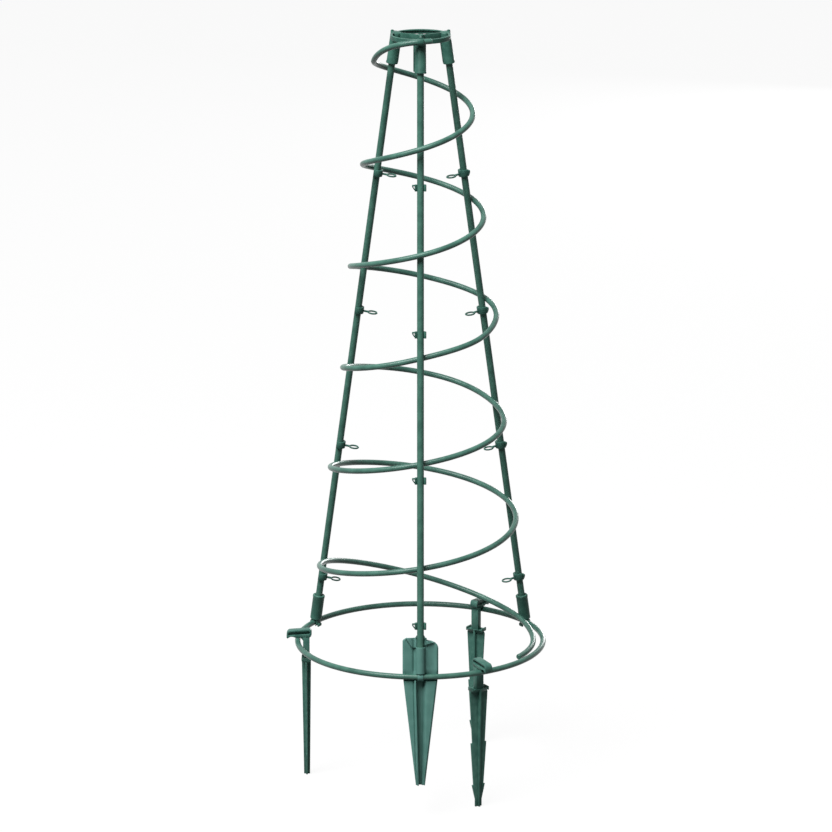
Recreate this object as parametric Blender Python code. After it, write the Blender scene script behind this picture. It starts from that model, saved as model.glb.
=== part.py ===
"""A tall plant support for climbing plants.

Three straight tube legs lean together under a ringed crown. One long plastic rod is
wound round them as a widening coil and ends flat inside a ring, which the feet grip.
Tie clips slide on the legs, and three barbed pegs hang on the ring.

The tower's axis is parallel to Z, the front leg points along -Y, and the pegs' tips
are at height 0. The origin is under the middle of the whole outline, a little off the
tower's axis. Heights named here are measured from the ring's centre line.
"""

import math

import bmesh
import bpy
from mathutils import Matrix, Vector

MM = 0.001

# Driving dimensions of the tower
AXIS_X = 7.03 * MM
AXIS_Y = 13.31 * MM
RING_RADIUS = 200.0 * MM
CROWN_HEIGHT = 1000.0 * MM
LEG_CROWN_RADIUS = 44.4 * MM
LEG_DIAMETER = 11.0 * MM
ROD_DIAMETER = 9.0 * MM
FIT_GAP = 0.3 * MM
BORE_CLEARANCE = 0.4 * MM
LEG_AZIMUTHS = {"front": -90.0, "rear_right": 30.0, "rear_left": 150.0}

# Coil: turns are counted from the front leg at the crown, clockwise seen from above
COIL_TOP_DROP = 1.3 * MM
COIL_TURNS_TO_RING = 6.0056
COIL_OUTSIDE_AT_TOP = 24.7 * MM
COIL_STEP_IN_PER_TURN = 7.88 * MM
COIL_OUTSIDE_LEGS_UNTIL = 2.8
COIL_LEG_GAP = 0.5 * MM
COIL_CLEARING_TURNS = 0.15
COIL_END_TUCK = 9.3 * MM
COIL_END_LIFT = 9.5 * MM
COIL_END_TURNS = 0.25
COIL_START = -0.05
LANDING_START = 5.28
LANDING_END = 5.66
LANDING_DROP = 44.0 * MM
LANDING_EASE = 6.0 * MM
TAIL_INSET = 16.0 * MM
COIL_END = 5.836
POINTS_PER_TURN = 36
ROD_BEVEL_RESOLUTION = 2

# Ring
RING_SECTIONS = 96
RING_ROD_SIDES = 10
RING_CUT_STEP = 3.75

# Crown
CROWN_BAND_OUTSET = 3.6 * MM
CROWN_BAND_WALL = 3.4 * MM
CROWN_BAND_HEIGHT = 7.6 * MM
SPOKE_WIDTH = 3.2 * MM
SPOKE_HEIGHT = 11.5 * MM
SPOKE_DROP = 0.6 * MM
HUB_RADIUS = 6.0 * MM
SOCKET_LENGTHS = {"front": 54.0 * MM, "rear_right": 51.5 * MM, "rear_left": 51.5 * MM}
SOCKET_TOP_RADIUS = 8.75 * MM
SOCKET_MOUTH_RADIUS = 9.5 * MM
SOCKET_ROOF = 6.0 * MM
HORN_RADIUS = 2.2 * MM
HORN_HEIGHT = 1.6 * MM
ROD_CLIP_WALL = 2.2 * MM
ROD_CLIP_WIDTH = 10.0 * MM
ROD_CLIP_MOUTH = 6.6 * MM
ROD_CLIP_NECK = 5.0 * MM

# Rear feet
FOOT_SOCKET_RADIUS = 9.5 * MM
FOOT_SOCKET_TOP = 47.8 * MM
FOOT_FLOOR = 9.0 * MM
FOOT_CLIP_WIDTH = 12.0 * MM
FOOT_TAB_WIDTH = 9.0 * MM
# The release tab on the clip's inner side, seen along the ring: local x outwards, z up
FOOT_TAB_OUTLINE = (
    (-4.8 * MM, 0.5 * MM),
    (-8.8 * MM, -0.4 * MM),
    (-10.0 * MM, -2.4 * MM),
    (-9.6 * MM, -8.0 * MM),
    (-7.6 * MM, -8.0 * MM),
    (-7.4 * MM, -3.4 * MM),
    (-4.8 * MM, -2.6 * MM),
)

# Front foot with its ground blade
BLADE_TOP = 62.5 * MM
BLADE_SHOULDER = 5.0 * MM
BLADE_LENGTH_BELOW_RING = 175.0 * MM
BLADE_WIDTH = 57.0 * MM
BLADE_TIP_WIDTH = 14.5 * MM
BLADE_THICKNESS = 2.8 * MM
BLADE_CHAMFER_WIDTH = 6.3 * MM
BLADE_CHAMFER_DROP = 4.0 * MM
BLADE_RIGHT_LOWER = 3.2 * MM
BLADE_ROUND_WIDTH = 18.5 * MM
BLADE_ROUND_DROP = 14.3 * MM
BLADE_HUMP_WIDTH = 18.0 * MM
BLADE_HUMP_TOP_WIDTH = 11.0 * MM
BLADE_HUMP_RISE = 4.0 * MM
FRONT_SOCKET_RADIUS = 7.5 * MM
FRONT_SOCKET_TOP = 48.0 * MM
RIB_THICKNESS = 2.5 * MM
RIB_DEPTHS = {-1.0: 8.0 * MM, 1.0: 3.5 * MM}
RIB_SPREAD_TOP = 8.5 * MM
RIB_SPREAD_TIP = 3.8 * MM
RIB_CLEARANCE = 1.2 * MM
HOOK_WIDTH = 9.0 * MM
HOOK_THICKNESS = 1.6 * MM
HOOK_RISE = -1.0 * MM

# Pegs
PEG_AZIMUTHS = {"left": 180.0, "rear_right": 60.0, "front_right": -60.0}
PEG_INSET = 14.0 * MM
PEG_LENGTH_BELOW_RING = 230.0 * MM
PEG_WEB = 3.0 * MM
PEG_STEM_WIDTH = 13.0 * MM
PEG_STEM_DEPTH = 10.5 * MM
PEG_STEM_TOP = 8.0 * MM
PEG_ARM_WIDTH = 13.0 * MM
PEG_ARM_INNER_MIDDLE = (-4.0 * MM, 11.85 * MM)
PEG_ARM_INNER_RADII = (5.0 * MM, 7.05 * MM)
# The arm seen from the side, from the foot of its rounded inner end outwards and back
PEG_ARM_UNDERSIDE = (
    (18.0 * MM, 4.8 * MM),
    (20.5 * MM, 5.8 * MM),
    (23.0 * MM, 6.4 * MM),
    (26.0 * MM, 6.2 * MM),
    (28.5 * MM, 4.8 * MM),
    (30.0 * MM, 3.5 * MM),
    (31.2 * MM, 3.7 * MM),
    (32.0 * MM, 5.0 * MM),
    (32.0 * MM, 10.0 * MM),
    (31.6 * MM, 12.6 * MM),
    (30.2 * MM, 14.8 * MM),
    (27.4 * MM, 16.6 * MM),
)
PEG_ARM_SLOT = (
    (-4.0 * MM, 15.7 * MM),
    (26.4 * MM, 13.7 * MM),
    (28.6 * MM, 12.2 * MM),
    (29.6 * MM, 9.4 * MM),
    (28.9 * MM, 8.2 * MM),
    (-4.0 * MM, 9.8 * MM),
    (-5.6 * MM, 11.2 * MM),
    (-5.6 * MM, 14.2 * MM),
)
PEG_ARM_WEB = (
    (-6.6 * MM, 8.9 * MM),
    (30.6 * MM, 7.0 * MM),
    (30.6 * MM, 11.0 * MM),
    (27.6 * MM, 14.8 * MM),
    (-6.6 * MM, 16.9 * MM),
)
PEG_FILLET_OUTLINE = (
    (3.0 * MM, -1.0 * MM),
    (5.2 * MM, -1.0 * MM),
    (9.4 * MM, 4.2 * MM),
    (9.4 * MM, 5.6 * MM),
    (3.0 * MM, 5.6 * MM),
)
PEG_FLANGE_LEVEL = -30.5 * MM
PEG_FLANGE_WIDTH = 29.5 * MM
PEG_FLANGE_DEPTH = 16.0 * MM
PEG_FLANGE_THICKNESS = 2.2 * MM
PEG_FLANGE_LIP = 0.8 * MM
PEG_FIN_TOP_WIDTH = 15.0 * MM
PEG_FIN_TIP_WIDTH = 9.8 * MM
# Full widths of the barbed web by depth under the ring, with a barb at each step out
PEG_BLADE_PROFILE = (
    (33.4 * MM, 28.5 * MM),
    (37.5 * MM, 32.2 * MM),
    (122.0 * MM, 22.9 * MM),
    (122.0 * MM, 28.5 * MM),
    (193.0 * MM, 18.3 * MM),
    (193.0 * MM, 23.7 * MM),
    (218.0 * MM, 11.8 * MM),
)
PEG_TIP_WIDTH = 11.8 * MM

# Tie clips
CLIP_LOWEST_SHARE = 0.080
CLIP_SPACING_SHARE = 0.2295
CLIP_NAMES = ("bottom", "lower", "upper", "top")
CLIP_HEIGHT = 12.5 * MM
CLIP_WALL = 3.6 * MM
CLIP_MOUTH_HALF_ANGLE = 62.0
CLIP_LIP_SPREAD = 13.4 * MM
CLIP_LIP_THICKNESS = 1.8 * MM
CLIP_LIP_HEIGHT = 4.0 * MM
# How far the clips stand turned on their legs from facing the tower's axis, in degrees
CLIP_TURNS = {"front": 0.0, "rear_right": 0.0, "rear_left": 20.0}
CLIP_NECK_LENGTH = 7.4 * MM
CLIP_NECK_WIDTH = 4.4 * MM
CLIP_NECK_HEIGHT = 3.0 * MM
EYE_DIAMETER = 16.4 * MM
EYE_WIRE = 2.2 * MM

ROUND_SIDES = 24
SMALL_SIDES = 16
EDGE_ANGLE = math.radians(35.0)
# How an outline drawn in local XY is stood up: seen along local X, or seen along local Y
FACING_OUT = Matrix(((0, 0, 1, 0), (1, 0, 0, 0), (0, 1, 0, 0), (0, 0, 0, 1)))
FACING_SIDE = Matrix(((1, 0, 0, 0), (0, 0, -1, 0), (0, 1, 0, 0), (0, 0, 0, 1)))

ROD_RADIUS = ROD_DIAMETER / 2
LEG_RADIUS = LEG_DIAMETER / 2
BORE_RADIUS = LEG_RADIUS + BORE_CLEARANCE
RING_LEVEL = PEG_LENGTH_BELOW_RING
LEG_TILT = math.atan2(RING_RADIUS - LEG_CROWN_RADIUS, CROWN_HEIGHT)


def new_collection(name):
    collection = bpy.data.collections.new(name)
    bpy.context.scene.collection.children.link(collection)
    return collection


for old in list(bpy.data.objects):
    bpy.data.objects.remove(old, do_unlink=True)

PARTS = new_collection("plant_support")
CUTTERS = new_collection("plant_support_cutters")


def plastic(name, colour, roughness):
    material = bpy.data.materials.new(name)
    material.use_nodes = True
    shader = material.node_tree.nodes["Principled BSDF"]
    shader.inputs["Base Color"].default_value = (*colour, 1.0)
    shader.inputs["Roughness"].default_value = roughness
    shader.inputs["Metallic"].default_value = 0.0
    return material


TUBE_GREEN = plastic("tube_green", (0.062, 0.165, 0.125), 0.42)
ROD_GREEN = plastic("rod_green", (0.052, 0.140, 0.108), 0.38)
CROWN_GREEN = plastic("crown_green", (0.030, 0.098, 0.074), 0.46)
FOOT_GREEN = plastic("foot_green", (0.040, 0.120, 0.090), 0.46)
PEG_GREEN = plastic("peg_green", (0.045, 0.130, 0.098), 0.44)
CLIP_GREEN = plastic("clip_green", (0.034, 0.105, 0.080), 0.48)


# Places on the tower

def on_tower(azimuth, radius, height):
    angle = math.radians(azimuth)
    x = AXIS_X + radius * math.cos(angle)
    y = AXIS_Y + radius * math.sin(angle)
    return Vector((x, y, RING_LEVEL + height))


def tower_frame(azimuth, radius, height):
    """Local +X points away from the tower's axis and +Z straight up."""
    turn = Matrix.Rotation(math.radians(azimuth), 4, "Z")
    return Matrix.Translation(on_tower(azimuth, radius, height)) @ turn


def leg_radius(height):
    return RING_RADIUS + (LEG_CROWN_RADIUS - RING_RADIUS) * height / CROWN_HEIGHT


def leg_frame(azimuth, height):
    """Local +Z runs up the leg's axis and local +X leans away from the tower's axis."""
    lean = Matrix.Rotation(-LEG_TILT, 4, "Y")
    return tower_frame(azimuth, leg_radius(height), height) @ lean


def along_leg(height):
    return height / math.cos(LEG_TILT)


# Shapes

def add_mesh(name, bm):
    mesh = bpy.data.meshes.new(name)
    bm.to_mesh(mesh)
    bm.free()
    piece = bpy.data.objects.new(name, mesh)
    CUTTERS.objects.link(piece)
    return piece


def box(low, high):
    bm = bmesh.new()
    bmesh.ops.create_cube(bm, size=1.0)
    size = [high[axis] - low[axis] for axis in range(3)]
    middle = [(high[axis] + low[axis]) / 2 for axis in range(3)]
    bmesh.ops.scale(bm, vec=size, verts=bm.verts)
    bmesh.ops.translate(bm, vec=middle, verts=bm.verts)
    return add_mesh("box", bm)


def cone(bottom_radius, top_radius, bottom, top, sides=ROUND_SIDES):
    """A round bar along local Z, straight or tapered."""
    bm = bmesh.new()
    bmesh.ops.create_cone(
        bm, cap_ends=True, segments=sides, radius1=bottom_radius, radius2=top_radius, depth=top - bottom
    )
    bmesh.ops.translate(bm, vec=(0.0, 0.0, (top + bottom) / 2), verts=bm.verts)
    return add_mesh("cone", bm)


def barrel(radius, width, sides=SMALL_SIDES):
    """A round bar along local Y, centred on the origin."""
    piece = cone(radius, radius, -width / 2, width / 2, sides)
    piece.data.transform(Matrix.Rotation(math.radians(90.0), 4, "X"))
    return piece


def from_curve(curve):
    """Turns a curve object into a welded mesh object in the same place."""
    bpy.context.view_layer.update()
    graph = bpy.context.evaluated_depsgraph_get()
    mesh = bpy.data.meshes.new_from_object(curve.evaluated_get(graph), depsgraph=graph)
    bm = bmesh.new()
    bm.from_mesh(mesh)
    bmesh.ops.remove_doubles(bm, verts=bm.verts, dist=0.01 * MM)
    bmesh.ops.recalc_face_normals(bm, faces=bm.faces)
    bm.to_mesh(mesh)
    bm.free()
    piece = bpy.data.objects.new(curve.name, mesh)
    piece.matrix_world = curve.matrix_world
    CUTTERS.objects.link(piece)
    bpy.data.objects.remove(curve, do_unlink=True)
    return piece


def slab(outlines, thickness):
    """A flat plate in local XY, centred on z = 0; a second outline is a hole."""
    data = bpy.data.curves.new("slab", "CURVE")
    data.dimensions = "2D"
    data.fill_mode = "BOTH"
    data.extrude = thickness / 2
    for outline in outlines:
        spline = data.splines.new("POLY")
        spline.points.add(len(outline) - 1)
        for point, (x, y) in zip(spline.points, outline):
            point.co = (x, y, 0.0, 1.0)
        spline.use_cyclic_u = True
    curve = bpy.data.objects.new("slab", data)
    CUTTERS.objects.link(curve)
    return from_curve(curve)


def tube(name, points, radius, bevel_resolution):
    data = bpy.data.curves.new(name, "CURVE")
    data.dimensions = "3D"
    data.bevel_depth = radius
    data.bevel_resolution = bevel_resolution
    data.use_fill_caps = True
    spline = data.splines.new("POLY")
    spline.points.add(len(points) - 1)
    for point, place in zip(spline.points, points):
        point.co = (*place, 1.0)
    curve = bpy.data.objects.new(name, data)
    CUTTERS.objects.link(curve)
    return from_curve(curve)


def arc(radius, start, end, steps):
    """Points on a circle about the origin, angles in degrees."""
    points = []
    for step in range(steps + 1):
        angle = math.radians(start + (end - start) * step / steps)
        points.append((radius * math.cos(angle), radius * math.sin(angle)))
    return points


def place(piece, matrix):
    piece.data.transform(matrix)
    return piece


def combine(base, others, operation):
    """Joins the others to the base, or cuts them out of it."""
    for other in others:
        modifier = base.modifiers.new(operation, "BOOLEAN")
        modifier.operation = operation
        modifier.solver = "EXACT"
        modifier.object = other
    bpy.context.view_layer.update()
    graph = bpy.context.evaluated_depsgraph_get()
    mesh = bpy.data.meshes.new_from_object(base.evaluated_get(graph), depsgraph=graph)
    base.modifiers.clear()
    base.data = mesh
    for other in others:
        bpy.data.objects.remove(other, do_unlink=True)
    return base


def shared_mesh(name, shape, material):
    """Dresses a finished shape's mesh, for one part or for several copies."""
    mesh = shape.data
    bpy.data.objects.remove(shape, do_unlink=True)
    mesh.name = name
    mesh.materials.clear()
    mesh.materials.append(material)
    mesh.shade_smooth()
    mesh.set_sharp_from_angle(angle=EDGE_ANGLE)
    return mesh


def file_copy(name, mesh, frame):
    part = bpy.data.objects.new(name, mesh)
    part.matrix_world = frame
    PARTS.objects.link(part)


def finish(name, shape, material, frame):
    """Moves a shape modelled in world space to its own frame and files it as a part."""
    shape.data.transform(frame.inverted())
    file_copy(name, shared_mesh(name, shape, material), frame)


# The coil's centre line

def helix_height(turns):
    top = CROWN_HEIGHT - COIL_TOP_DROP
    return top - top * turns / COIL_TURNS_TO_RING


def smoothstep(share):
    share = min(max(share, 0.0), 1.0)
    return share * share * (3.0 - 2.0 * share)


def even_offset(turns):
    """How far the coil would run outside the legs if it never had to clear one."""
    return COIL_OUTSIDE_AT_TOP - COIL_STEP_IN_PER_TURN * turns


def crossing_shift(crossing):
    """What moves the coil off a leg, at the crossings that come every third of a turn."""
    turns = crossing / len(LEG_AZIMUTHS)
    clear = (LEG_RADIUS + ROD_RADIUS + COIL_LEG_GAP) / math.cos(LEG_TILT)
    if turns < COIL_OUTSIDE_LEGS_UNTIL:
        return max(clear - even_offset(turns), 0.0)
    return min(-clear - even_offset(turns), 0.0)


def landing_share(turns):
    share = (turns - LANDING_START) / (LANDING_END - LANDING_START)
    return min(max(share, 0.0), 1.0)


def coil_height(turns):
    height = helix_height(max(turns, 0.0))
    if 0.0 < turns < COIL_END_TURNS:
        height += COIL_END_LIFT * math.sin(math.pi * turns / COIL_END_TURNS)
    height -= LANDING_DROP * smoothstep(landing_share(turns))
    if height < LANDING_EASE:
        height = max(height + LANDING_EASE, 0.0) ** 2 / (4.0 * LANDING_EASE)
    return height


def wound_radius(turns):
    crossing = round(turns * len(LEG_AZIMUTHS))
    from_crossing = abs(turns - crossing / len(LEG_AZIMUTHS))
    shift = crossing_shift(crossing) * (1.0 - smoothstep(from_crossing / COIL_CLEARING_TURNS))
    radius = leg_radius(helix_height(turns)) + even_offset(turns) + shift
    if turns < COIL_END_TURNS:
        radius -= COIL_END_TUCK * (1.0 - turns / COIL_END_TURNS)
    return radius


def coil_radius(turns):
    """The wound route, then a steady widening up to the stretch that lies inside the ring."""
    share = landing_share(turns)
    if share == 0.0:
        return wound_radius(turns)
    return wound_radius(LANDING_START) * (1.0 - share) + (RING_RADIUS - TAIL_INSET) * share


def coil_point(turns):
    azimuth = LEG_AZIMUTHS["front"] - 360.0 * turns
    return on_tower(azimuth, coil_radius(turns), coil_height(turns))


def coil_stations():
    """Turn counts of the rod's points, twice as close where it lands."""
    stations = [COIL_START]
    half_steps = 2 * POINTS_PER_TURN
    for count in range(math.ceil(COIL_START * half_steps), math.floor(COIL_END * half_steps) + 1):
        turns = count / half_steps
        if count % 2 == 0 or landing_share(turns) == 1.0:
            stations.append(turns)
    stations.append(COIL_END)
    return stations


STATIONS = coil_stations()


def make_coil():
    rod = tube("coil", [coil_point(turns) for turns in STATIONS], ROD_RADIUS, ROD_BEVEL_RESOLUTION)
    finish("coil", rod, ROD_GREEN, tower_frame(0.0, 0.0, 0.0))


def rod_cutter(points):
    """A stretch of a rod's route, wider by the fit's gap."""
    sides = 12
    radius = (ROD_RADIUS + FIT_GAP) / math.cos(math.pi / sides)
    return tube("rod_cutter", points, radius, sides // 2 - 2)


def coil_cutter():
    """The coil's top end, where the crown's clip holds it."""
    reach = 1.2 / POINTS_PER_TURN
    return rod_cutter([coil_point(turns) for turns in STATIONS if abs(turns) < reach])


# Ring

def make_ring():
    """A closed hoop of the same rod, lying on the ground."""
    bpy.ops.mesh.primitive_torus_add(
        major_segments=RING_SECTIONS, minor_segments=RING_ROD_SIDES,
        major_radius=RING_RADIUS, minor_radius=ROD_RADIUS,
    )
    frame = tower_frame(0.0, 0.0, 0.0)
    finish("ring", place(bpy.context.object, frame), ROD_GREEN, frame)


def ring_cutter(azimuth):
    """The ring's stretch through the foot at this azimuth."""
    steps = range(-3, 4)
    return rod_cutter([on_tower(azimuth + step * RING_CUT_STEP, RING_RADIUS, 0.0) for step in steps])


# Legs

def make_leg(side, azimuth):
    frame = leg_frame(azimuth, 0.0)
    bottom = FOOT_FLOOR + FIT_GAP
    top = along_leg(CROWN_HEIGHT) - SOCKET_ROOF - FIT_GAP
    bar = place(cone(LEG_RADIUS, LEG_RADIUS, bottom, top), frame)
    finish(side + "_leg", bar, TUBE_GREEN, frame)


# Crown

def rod_clip_shape(frame, wall, width):
    """A barrel round the rod, which the rod's groove then opens."""
    return place(barrel(ROD_RADIUS + FIT_GAP + wall, width), frame)


def make_crown():
    band_outer = LEG_CROWN_RADIUS + CROWN_BAND_OUTSET
    band = slab(
        [arc(band_outer, 0, 350, 35), arc(band_outer - CROWN_BAND_WALL, 0, 350, 35)],
        CROWN_BAND_HEIGHT,
    )
    place(band, tower_frame(0.0, 0.0, CROWN_HEIGHT - CROWN_BAND_HEIGHT / 2))
    hub = cone(HUB_RADIUS, HUB_RADIUS, -SPOKE_HEIGHT, 0.0)
    place(hub, tower_frame(0.0, 0.0, CROWN_HEIGHT))
    additions = [hub]
    bores = []
    for side, azimuth in LEG_AZIMUTHS.items():
        spoke = box(
            (0.0, -SPOKE_WIDTH / 2, -SPOKE_HEIGHT),
            (LEG_CROWN_RADIUS, SPOKE_WIDTH / 2, -SPOKE_DROP),
        )
        additions.append(place(spoke, tower_frame(azimuth, 0.0, CROWN_HEIGHT)))
        frame = leg_frame(azimuth, CROWN_HEIGHT)
        socket = cone(SOCKET_MOUTH_RADIUS, SOCKET_TOP_RADIUS, -SOCKET_LENGTHS[side], 0.0)
        additions.append(place(socket, frame))
        horn = cone(HORN_RADIUS, HORN_RADIUS * 0.8, -HORN_HEIGHT, HORN_HEIGHT, SMALL_SIDES)
        horn_frame = frame @ Matrix.Translation((SOCKET_TOP_RADIUS - HORN_RADIUS / 2, 0.0, 0.0))
        additions.append(place(horn, horn_frame))
        bore_bottom = -SOCKET_LENGTHS[side] - HORN_HEIGHT
        bore = cone(BORE_RADIUS, BORE_RADIUS, bore_bottom, -SOCKET_ROOF)
        bores.append(place(bore, frame))
    front = LEG_AZIMUTHS["front"]
    clip_frame = tower_frame(front, coil_radius(0.0), coil_height(0.0))
    additions.append(rod_clip_shape(clip_frame, ROD_CLIP_WALL, ROD_CLIP_WIDTH))
    neck_end = ROD_RADIUS + FIT_GAP
    neck_start = coil_radius(0.0) - LEG_CROWN_RADIUS - SOCKET_TOP_RADIUS / 2
    neck = box(
        (-neck_start, -ROD_CLIP_NECK / 2, -ROD_CLIP_NECK / 2),
        (-neck_end, ROD_CLIP_NECK / 2, ROD_CLIP_NECK / 2),
    )
    additions.append(place(neck, clip_frame))
    crown = combine(band, additions, "UNION")
    mouth = box(
        (-ROD_CLIP_MOUTH / 2, -ROD_CLIP_WIDTH, 0.0),
        (ROD_CLIP_MOUTH / 2, ROD_CLIP_WIDTH, ROD_DIAMETER + ROD_CLIP_WALL),
    )
    cuts = bores + [coil_cutter(), place(mouth, clip_frame)]
    crown = combine(crown, cuts, "DIFFERENCE")
    finish("crown", crown, CROWN_GREEN, tower_frame(0.0, 0.0, CROWN_HEIGHT))


# Feet

def leg_bore(frame, top):
    return place(cone(BORE_RADIUS, BORE_RADIUS, FOOT_FLOOR, top + FOOT_FLOOR), frame)


def make_rear_foot(side, azimuth):
    """A socket for the leg over a clip that snaps down on the ring."""
    frame = leg_frame(azimuth, 0.0)
    body = place(cone(FOOT_SOCKET_RADIUS, FOOT_SOCKET_RADIUS, ROD_RADIUS, FOOT_SOCKET_TOP), frame)
    barrel_shape = rod_clip_shape(frame, ROD_CLIP_WALL, FOOT_CLIP_WIDTH)
    tab = place(slab([FOOT_TAB_OUTLINE], FOOT_TAB_WIDTH), frame @ FACING_SIDE)
    body = combine(body, [barrel_shape, tab], "UNION")
    mouth = box(
        (-ROD_CLIP_MOUTH / 2, -FOOT_CLIP_WIDTH, -ROD_DIAMETER - ROD_CLIP_WALL),
        (ROD_CLIP_MOUTH / 2, FOOT_CLIP_WIDTH, 0.0),
    )
    cuts = [ring_cutter(azimuth), place(mouth, frame), leg_bore(frame, FOOT_SOCKET_TOP)]
    body = combine(body, cuts, "DIFFERENCE")
    finish(side + "_foot", body, FOOT_GREEN, frame)


def blade_outline():
    """The ground blade seen from the front: local x across, y up the leg."""
    half = BLADE_WIDTH / 2
    tip = BLADE_TIP_WIDTH / 2
    right_top = BLADE_TOP - BLADE_RIGHT_LOWER
    right_corner = [
        (half - BLADE_ROUND_WIDTH * (1.0 - x), right_top - BLADE_ROUND_DROP * (1.0 - y))
        for x, y in arc(1.0, 0, 90, 7)
    ]
    hump = [
        (BLADE_HUMP_WIDTH / 2, right_top),
        (BLADE_HUMP_TOP_WIDTH / 2, BLADE_TOP + BLADE_HUMP_RISE),
        (-BLADE_HUMP_TOP_WIDTH / 2, BLADE_TOP + BLADE_HUMP_RISE),
        (-BLADE_HUMP_WIDTH / 2, BLADE_TOP),
    ]
    left_corner = [(-half + BLADE_CHAMFER_WIDTH, BLADE_TOP), (-half, BLADE_TOP - BLADE_CHAMFER_DROP)]
    sides = [(-half, BLADE_SHOULDER), (-tip, -BLADE_LENGTH_BELOW_RING)]
    right_side = [(tip, -BLADE_LENGTH_BELOW_RING), (half, BLADE_SHOULDER)]
    return right_corner + hump + left_corner + sides + right_side


def make_front_foot():
    """A socket on a broad blade; a hook under the socket holds the ring."""
    frame = leg_frame(LEG_AZIMUTHS["front"], 0.0)
    grip = ROD_RADIUS + FIT_GAP
    blade = slab([blade_outline()], BLADE_THICKNESS)
    place(blade, frame @ Matrix.Translation((-grip - BLADE_THICKNESS / 2, 0.0, 0.0)) @ FACING_OUT)
    socket = cone(FRONT_SOCKET_RADIUS, FRONT_SOCKET_RADIUS, grip, FRONT_SOCKET_TOP)
    additions = [place(socket, frame)]
    rib_top = -grip - RIB_CLEARANCE
    rib_tip = -BLADE_LENGTH_BELOW_RING + FIT_GAP
    for side, depth in RIB_DEPTHS.items():
        rib_outline = [
            (side * RIB_SPREAD_TOP - RIB_THICKNESS / 2, rib_top),
            (side * RIB_SPREAD_TIP - RIB_THICKNESS / 2, rib_tip),
            (side * RIB_SPREAD_TIP + RIB_THICKNESS / 2, rib_tip),
            (side * RIB_SPREAD_TOP + RIB_THICKNESS / 2, rib_top),
        ]
        rib = slab([rib_outline], depth + BLADE_THICKNESS / 2)
        rib_middle = depth / 2 - BLADE_THICKNESS / 4 - grip
        additions.append(place(rib, frame @ Matrix.Translation((rib_middle, 0.0, 0.0)) @ FACING_OUT))
    opening = box(
        (-grip / 2, -HOOK_WIDTH, HOOK_RISE),
        (grip + 2 * HOOK_THICKNESS, HOOK_WIDTH, grip + HOOK_THICKNESS / 2),
    )
    hook = combine(rod_clip_shape(frame, HOOK_THICKNESS, HOOK_WIDTH), [place(opening, frame)], "DIFFERENCE")
    body = combine(blade, additions + [hook], "UNION")
    cuts = [ring_cutter(LEG_AZIMUTHS["front"]), leg_bore(frame, max(FRONT_SOCKET_TOP, BLADE_TOP))]
    body = combine(body, cuts, "DIFFERENCE")
    finish("front_foot", body, FOOT_GREEN, frame)


# Pegs

def peg_blade_outline():
    """The barbed web seen from outside the tower: local x across, y up."""
    top = (PEG_STEM_WIDTH / 2 - FIT_GAP, PEG_FLANGE_LEVEL - PEG_FLANGE_THICKNESS / 2)
    right = [top] + [(width / 2, -depth) for depth, width in PEG_BLADE_PROFILE]
    right.append((PEG_TIP_WIDTH / 2, -PEG_LENGTH_BELOW_RING))
    left = [(-x, y) for x, y in reversed(right)]
    return right + left


def peg_fin_outline():
    top = PEG_FIN_TOP_WIDTH / 2
    tip = PEG_FIN_TIP_WIDTH / 2
    level = PEG_FLANGE_LEVEL - PEG_FLANGE_THICKNESS / 2
    bottom = -PEG_LENGTH_BELOW_RING
    return [(top, level), (-top, level), (-tip, bottom), (tip, bottom)]


def peg_arm_outline():
    """The arm seen from the side: a rounded inner end, and a tip that dips past the ring."""
    middle_x, middle_z = PEG_ARM_INNER_MIDDLE
    wide, tall = PEG_ARM_INNER_RADII
    inner_end = [(middle_x + wide * x, middle_z + tall * z) for x, z in arc(1.0, 90, 270, 8)]
    return inner_end + list(PEG_ARM_UNDERSIDE)


def peg_mesh():
    """A cross-shaped spike under a flange, with a slotted arm that hangs it on the ring."""
    web = place(slab([peg_blade_outline()], PEG_WEB), FACING_OUT)
    fin = place(slab([peg_fin_outline()], PEG_WEB), FACING_SIDE)
    arm_rim = place(slab([peg_arm_outline(), PEG_ARM_SLOT], PEG_ARM_WIDTH), FACING_SIDE)
    arm_web = place(slab([PEG_ARM_WEB], PEG_WEB), FACING_SIDE)
    fillet = place(slab([PEG_FILLET_OUTLINE], PEG_STEM_WIDTH - 2 * FIT_GAP), FACING_SIDE)
    flange_bottom = PEG_FLANGE_LEVEL - PEG_FLANGE_THICKNESS
    stem_half = PEG_STEM_WIDTH / 2
    flange_half = PEG_FLANGE_WIDTH / 2
    blocks = [
        arm_rim,
        arm_web,
        fillet,
        box((-PEG_STEM_DEPTH / 2, -stem_half, PEG_FLANGE_LEVEL - PEG_FLANGE_THICKNESS / 2),
            (PEG_STEM_DEPTH / 2, stem_half, PEG_STEM_TOP)),
        box((-PEG_FLANGE_DEPTH / 2, -flange_half, flange_bottom),
            (PEG_FLANGE_DEPTH / 2, flange_half, PEG_FLANGE_LEVEL)),
    ]
    for end in (-1.0, 1.0):
        lip = box(
            (-PEG_FLANGE_DEPTH / 2 + FIT_GAP, -PEG_FLANGE_THICKNESS / 2, flange_bottom + FIT_GAP),
            (PEG_FLANGE_DEPTH / 2 - FIT_GAP, PEG_FLANGE_THICKNESS / 2, PEG_FLANGE_LEVEL + PEG_FLANGE_LIP),
        )
        lip_middle = end * (flange_half - PEG_FLANGE_THICKNESS / 4)
        blocks.append(place(lip, Matrix.Translation((0.0, lip_middle, 0.0))))
    return shared_mesh("peg", combine(web, [fin] + blocks, "UNION"), PEG_GREEN)


def make_pegs():
    mesh = peg_mesh()
    for side, azimuth in PEG_AZIMUTHS.items():
        file_copy(side + "_peg", mesh, tower_frame(azimuth, RING_RADIUS - PEG_INSET, 0.0))


# Tie clips

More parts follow.
